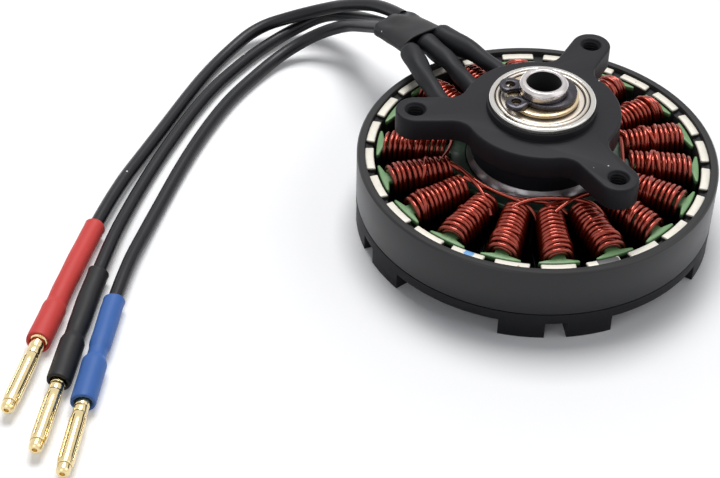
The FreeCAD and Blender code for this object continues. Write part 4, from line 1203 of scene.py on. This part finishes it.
def build_plugs():
    for name in LEADS:
        matrix = at_lead_end(name)
        pin = turned(PIN_OUTLINE, soft=0.05, segments=48)
        bmesh.ops.transform(pin, matrix=matrix, verts=pin.verts)
        show(f"plug_{name}", as_mesh(f"plug_{name}", pin, 40), "gold_plate", "stator", [f"{name}_pin"])

        def place(along, around, matrix=matrix):
            angle = FULL_TURN * (around + LEAF_TURN)
            bulge = ease(along / 0.16) * ease((1 - along) / 0.12)
            height = COLLAR_END + (SPRING_END - COLLAR_END) * along
            radius = LEAF_RADIUS + LEAF_BULGE * bulge
            leaf = abs(((around * LEAF_COUNT) % 1) - 0.5) * 2
            radius -= 0.06 * bulge * leaf**2
            return matrix @ (Vector((radius * math.cos(angle), radius * math.sin(angle), height)) * MM)

        rows, columns = 44, 64
        form = wrapped(rows, columns, place)
        layer = form.loops.layers.uv.active
        slits = []
        for face in form.faces:
            along = sum(loop[layer].uv[0] for loop in face.loops) / len(face.loops)
            around = sum(loop[layer].uv[1] for loop in face.loops) / len(face.loops)
            beside = abs((around * LEAF_COUNT + 0.5) % 1 - 0.5)
            if beside < LEAF_COUNT * 0.9 / columns and 0.07 < along < 0.93:
                slits.append(face)
        bmesh.ops.delete(form, geom=slits, context="FACES")
        mesh = as_mesh(f"leaves_{name}", form, 50)
        piece = show(f"leaves_{name}", mesh, "gold_plate", "stator", [f"{name}_pin_spring"])
        wall = piece.modifiers.new("wall", "SOLIDIFY")
        wall.thickness = LEAF_WALL * MM
        wall.offset = -1


# ---------------------------------------------------------------- stage

CAMERA_LENS = 89.82
CAMERA_AT = (0.0, -0.298, 0.2541)
CAMERA_RIGHT = Vector((0.99071409, 0.13535935, 0.01278415))
CAMERA_UP = Vector((-0.09926542, 0.65586107, 0.74832655))
CAMERA_AHEAD = Vector((-0.09290837, 0.74264669, -0.66320731))


def seen_directly(tree):
    """1 for rays that the camera sends, also by way of metal or glass."""
    path = tree.nodes.new("ShaderNodeLightPath").outputs
    mirrored = maths(tree, "ADD", path["Is Glossy Ray"], path["Is Transmission Ray"])
    return maths(tree, "ADD", path["Is Camera Ray"], mirrored, clamp=True)


def floor_finish():
    """White card that keeps the motor's shadow; its painted glow, seen by the camera and in reflections,
    grows with the distance from the motor, so it shows whiter there and lightens the shadows far from it.
    """
    made = bpy.data.materials.new("white_card")
    made.use_nodes = True
    tree = made.node_tree
    shader = tree.nodes["Principled BSDF"]
    shader.inputs["Base Color"].default_value = (0.95, 0.95, 0.955, 1)
    shader.inputs["Roughness"].default_value = 0.9
    shader.inputs["Specular IOR Level"].default_value = 0.1
    place = tree.nodes.new("ShaderNodeTexCoord").outputs["Object"]
    away = add_node(tree, "ShaderNodeVectorMath", {0: place}, operation="LENGTH").outputs["Value"]
    # Painted light: the glow rises from 0.02 near the motor to 1 at 0.4 m away.
    spread = {"Value": away, "From Min": 0.05, "From Max": 0.4, "To Min": 0.02, "To Max": 1.0}
    painted_glow_ramp = add_node(tree, "ShaderNodeMapRange", spread).outputs[0]
    glow = maths(tree, "MULTIPLY", seen_directly(tree), painted_glow_ramp)
    shine = add_node(tree, "ShaderNodeEmission", {"Color": (1, 1, 1, 1), "Strength": glow})
    both = add_node(tree, "ShaderNodeAddShader", {0: shader.outputs[0], 1: shine.outputs[0]})
    tree.links.new(both.outputs[0], tree.nodes["Material Output"].inputs["Surface"])
    return made


LAMPS = [
    # name, place, size, power, aimed at
    ("key", (-0.06, 0.22, 0.6), 0.34, 3.6, (-0.02, 0, 0)),
    ("fill", (0.5, -0.05, 0.45), 0.5, 0.65, (0, 0, 0)),
    ("front", (-0.25, -0.55, 0.4), 0.4, 0.32, (0, 0, 0.01)),
]


def build_stage():
    scene = bpy.context.scene
    camera = bpy.data.cameras.new("camera")
    camera.lens = CAMERA_LENS
    camera.sensor_width = 36
    camera.clip_start, camera.clip_end = 0.01, 20
    holder = bpy.data.objects.new("camera", camera)
    scene.collection.objects.link(holder)
    turn = Matrix((CAMERA_RIGHT, CAMERA_UP, -CAMERA_AHEAD)).transposed().to_4x4()
    turn.translation = Vector(CAMERA_AT)
    holder.matrix_world = turn
    scene.camera = holder
    form = bmesh.new()
    bmesh.ops.create_grid(form, x_segments=2, y_segments=2, size=3)
    mesh = as_mesh("floor", form)
    mesh.materials.append(floor_finish())
    floor = bpy.data.objects.new("floor", mesh)
    scene.collection.objects.link(floor)
    for name, place, size, power, target in LAMPS:
        lamp = bpy.data.lights.new(name, "AREA")
        lamp.shape = "SQUARE"
        lamp.size = size
        lamp.energy = power
        stand = bpy.data.objects.new(name, lamp)
        stand.location = place
        stand.rotation_mode = "QUATERNION"
        stand.rotation_quaternion = (Vector(target) - Vector(place)).to_track_quat("-Z", "Y")
        scene.collection.objects.link(stand)
    world = bpy.data.worlds.new("studio")
    world.use_nodes = True
    tree = world.node_tree
    light = tree.nodes["Background"]
    light.inputs["Color"].default_value = (0.9, 0.93, 1.0, 1)
    light.inputs["Strength"].default_value = 0.21
    white = add_node(tree, "ShaderNodeBackground", {"Color": (1, 1, 1, 1), "Strength": 1.0})
    shares = {0: seen_directly(tree), 1: light.outputs[0], 2: white.outputs[0]}
    both = add_node(tree, "ShaderNodeMixShader", shares)
    tree.links.new(both.outputs[0], tree.nodes["World Output"].inputs["Surface"])
    scene.world = world
    scene.view_settings.view_transform = "Standard"


# ---------------------------------------------------------------- operators and panel


class MOTOR_OT_stage(bpy.types.Operator):
    """Set up the floor, the lamps and the camera"""

    bl_idname = "motor.stage"
    bl_label = "Stage"

    def execute(self, context):
        build_stage()
        return {"FINISHED"}


class MOTOR_OT_bell(bpy.types.Operator):
    """Build the turning bell: ring, front and magnets"""

    bl_idname = "motor.bell"
    bl_label = "Bell"

    def execute(self, context):
        build_bell(context.scene.motor_sizes)
        return {"FINISHED"}


class MOTOR_OT_core(bpy.types.Operator):
    """Build the powder-coated stator core"""

    bl_idname = "motor.core"
    bl_label = "Stator core"

    def execute(self, context):
        build_core(context.scene.motor_sizes)
        return {"FINISHED"}


class MOTOR_OT_windings(bpy.types.Operator):
    """Wind the copper coils and lay the wires between them"""

    bl_idname = "motor.windings"
    bl_label = "Windings"

    def execute(self, context):
        build_windings(context.scene.motor_sizes)
        return {"FINISHED"}


class MOTOR_OT_mount(bpy.types.Operator):
    """Build the three-armed mount with its threads"""

    bl_idname = "motor.mount"
    bl_label = "Mount"

    def execute(self, context):
        build_mount(context.scene.motor_sizes)
        return {"FINISHED"}


class MOTOR_OT_bearings(bpy.types.Operator):
    """Build the bearings' rings and shields"""

    bl_idname = "motor.bearings"
    bl_label = "Bearings"

    def execute(self, context):
        build_bearings()
        refinish_nodes()
        return {"FINISHED"}


class MOTOR_OT_shaft(bpy.types.Operator):
    """Build the hollow shaft, its shim and its circlip"""

    bl_idname = "motor.shaft"
    bl_label = "Shaft"

    def execute(self, context):
        build_shaft(context.scene.motor_sizes)
        return {"FINISHED"}


class MOTOR_OT_cords(bpy.types.Operator):
    """Lay the tails, the sleeve over their joints and the leads"""

    bl_idname = "motor.cords"
    bl_label = "Tails and leads"

    def execute(self, context):
        sizes = context.scene.motor_sizes
        build_tails(sizes)
        build_bundle()
        build_leads(sizes)
        return {"FINISHED"}


class MOTOR_OT_plugs(bpy.types.Operator):
    """Build the coloured sleeves and the gold plugs on the leads"""

    bl_idname = "motor.plugs"
    bl_label = "Plugs"

    def execute(self, context):
        sizes = context.scene.motor_sizes
        build_sleeves(sizes)
        build_plugs()
        return {"FINISHED"}


OPERATORS = (
    MOTOR_OT_stage,
    MOTOR_OT_cords,
    MOTOR_OT_plugs,
    MOTOR_OT_bell,
    MOTOR_OT_core,
    MOTOR_OT_windings,
    MOTOR_OT_mount,
    MOTOR_OT_bearings,
    MOTOR_OT_shaft,
)


class MOTOR_PT_panel(bpy.types.Panel):
    """Lists the motor's sizes, colours and pieces"""

    bl_idname = "MOTOR_PT_panel"
    bl_label = "Outrunner Motor"
    bl_space_type = "VIEW_3D"
    bl_region_type = "UI"
    bl_category = "Motor"

    def draw(self, context):
        layout = self.layout
        for group in (context.scene.motor_sizes, context.scene.motor_colours):
            box = layout.box()
            for name in group.__annotations__:
                box.prop(group, name)
        for operator in OPERATORS:
            layout.operator(operator.bl_idname)


CLASSES = (MotorSizes, MotorColours, *OPERATORS, MOTOR_PT_panel)


def register():
    for item in CLASSES:
        bpy.utils.register_class(item)
    bpy.types.Scene.motor_sizes = PointerProperty(type=MotorSizes)
    bpy.types.Scene.motor_colours = PointerProperty(type=MotorColours)


def unregister():
    del bpy.types.Scene.motor_colours
    del bpy.types.Scene.motor_sizes
    for item in reversed(CLASSES):
        bpy.utils.unregister_class(item)


def main():
    register()
    for operator in OPERATORS:
        group, name = operator.bl_idname.split(".")
        getattr(getattr(bpy.ops, group), name)()


if __name__ == "__main__":
    main()
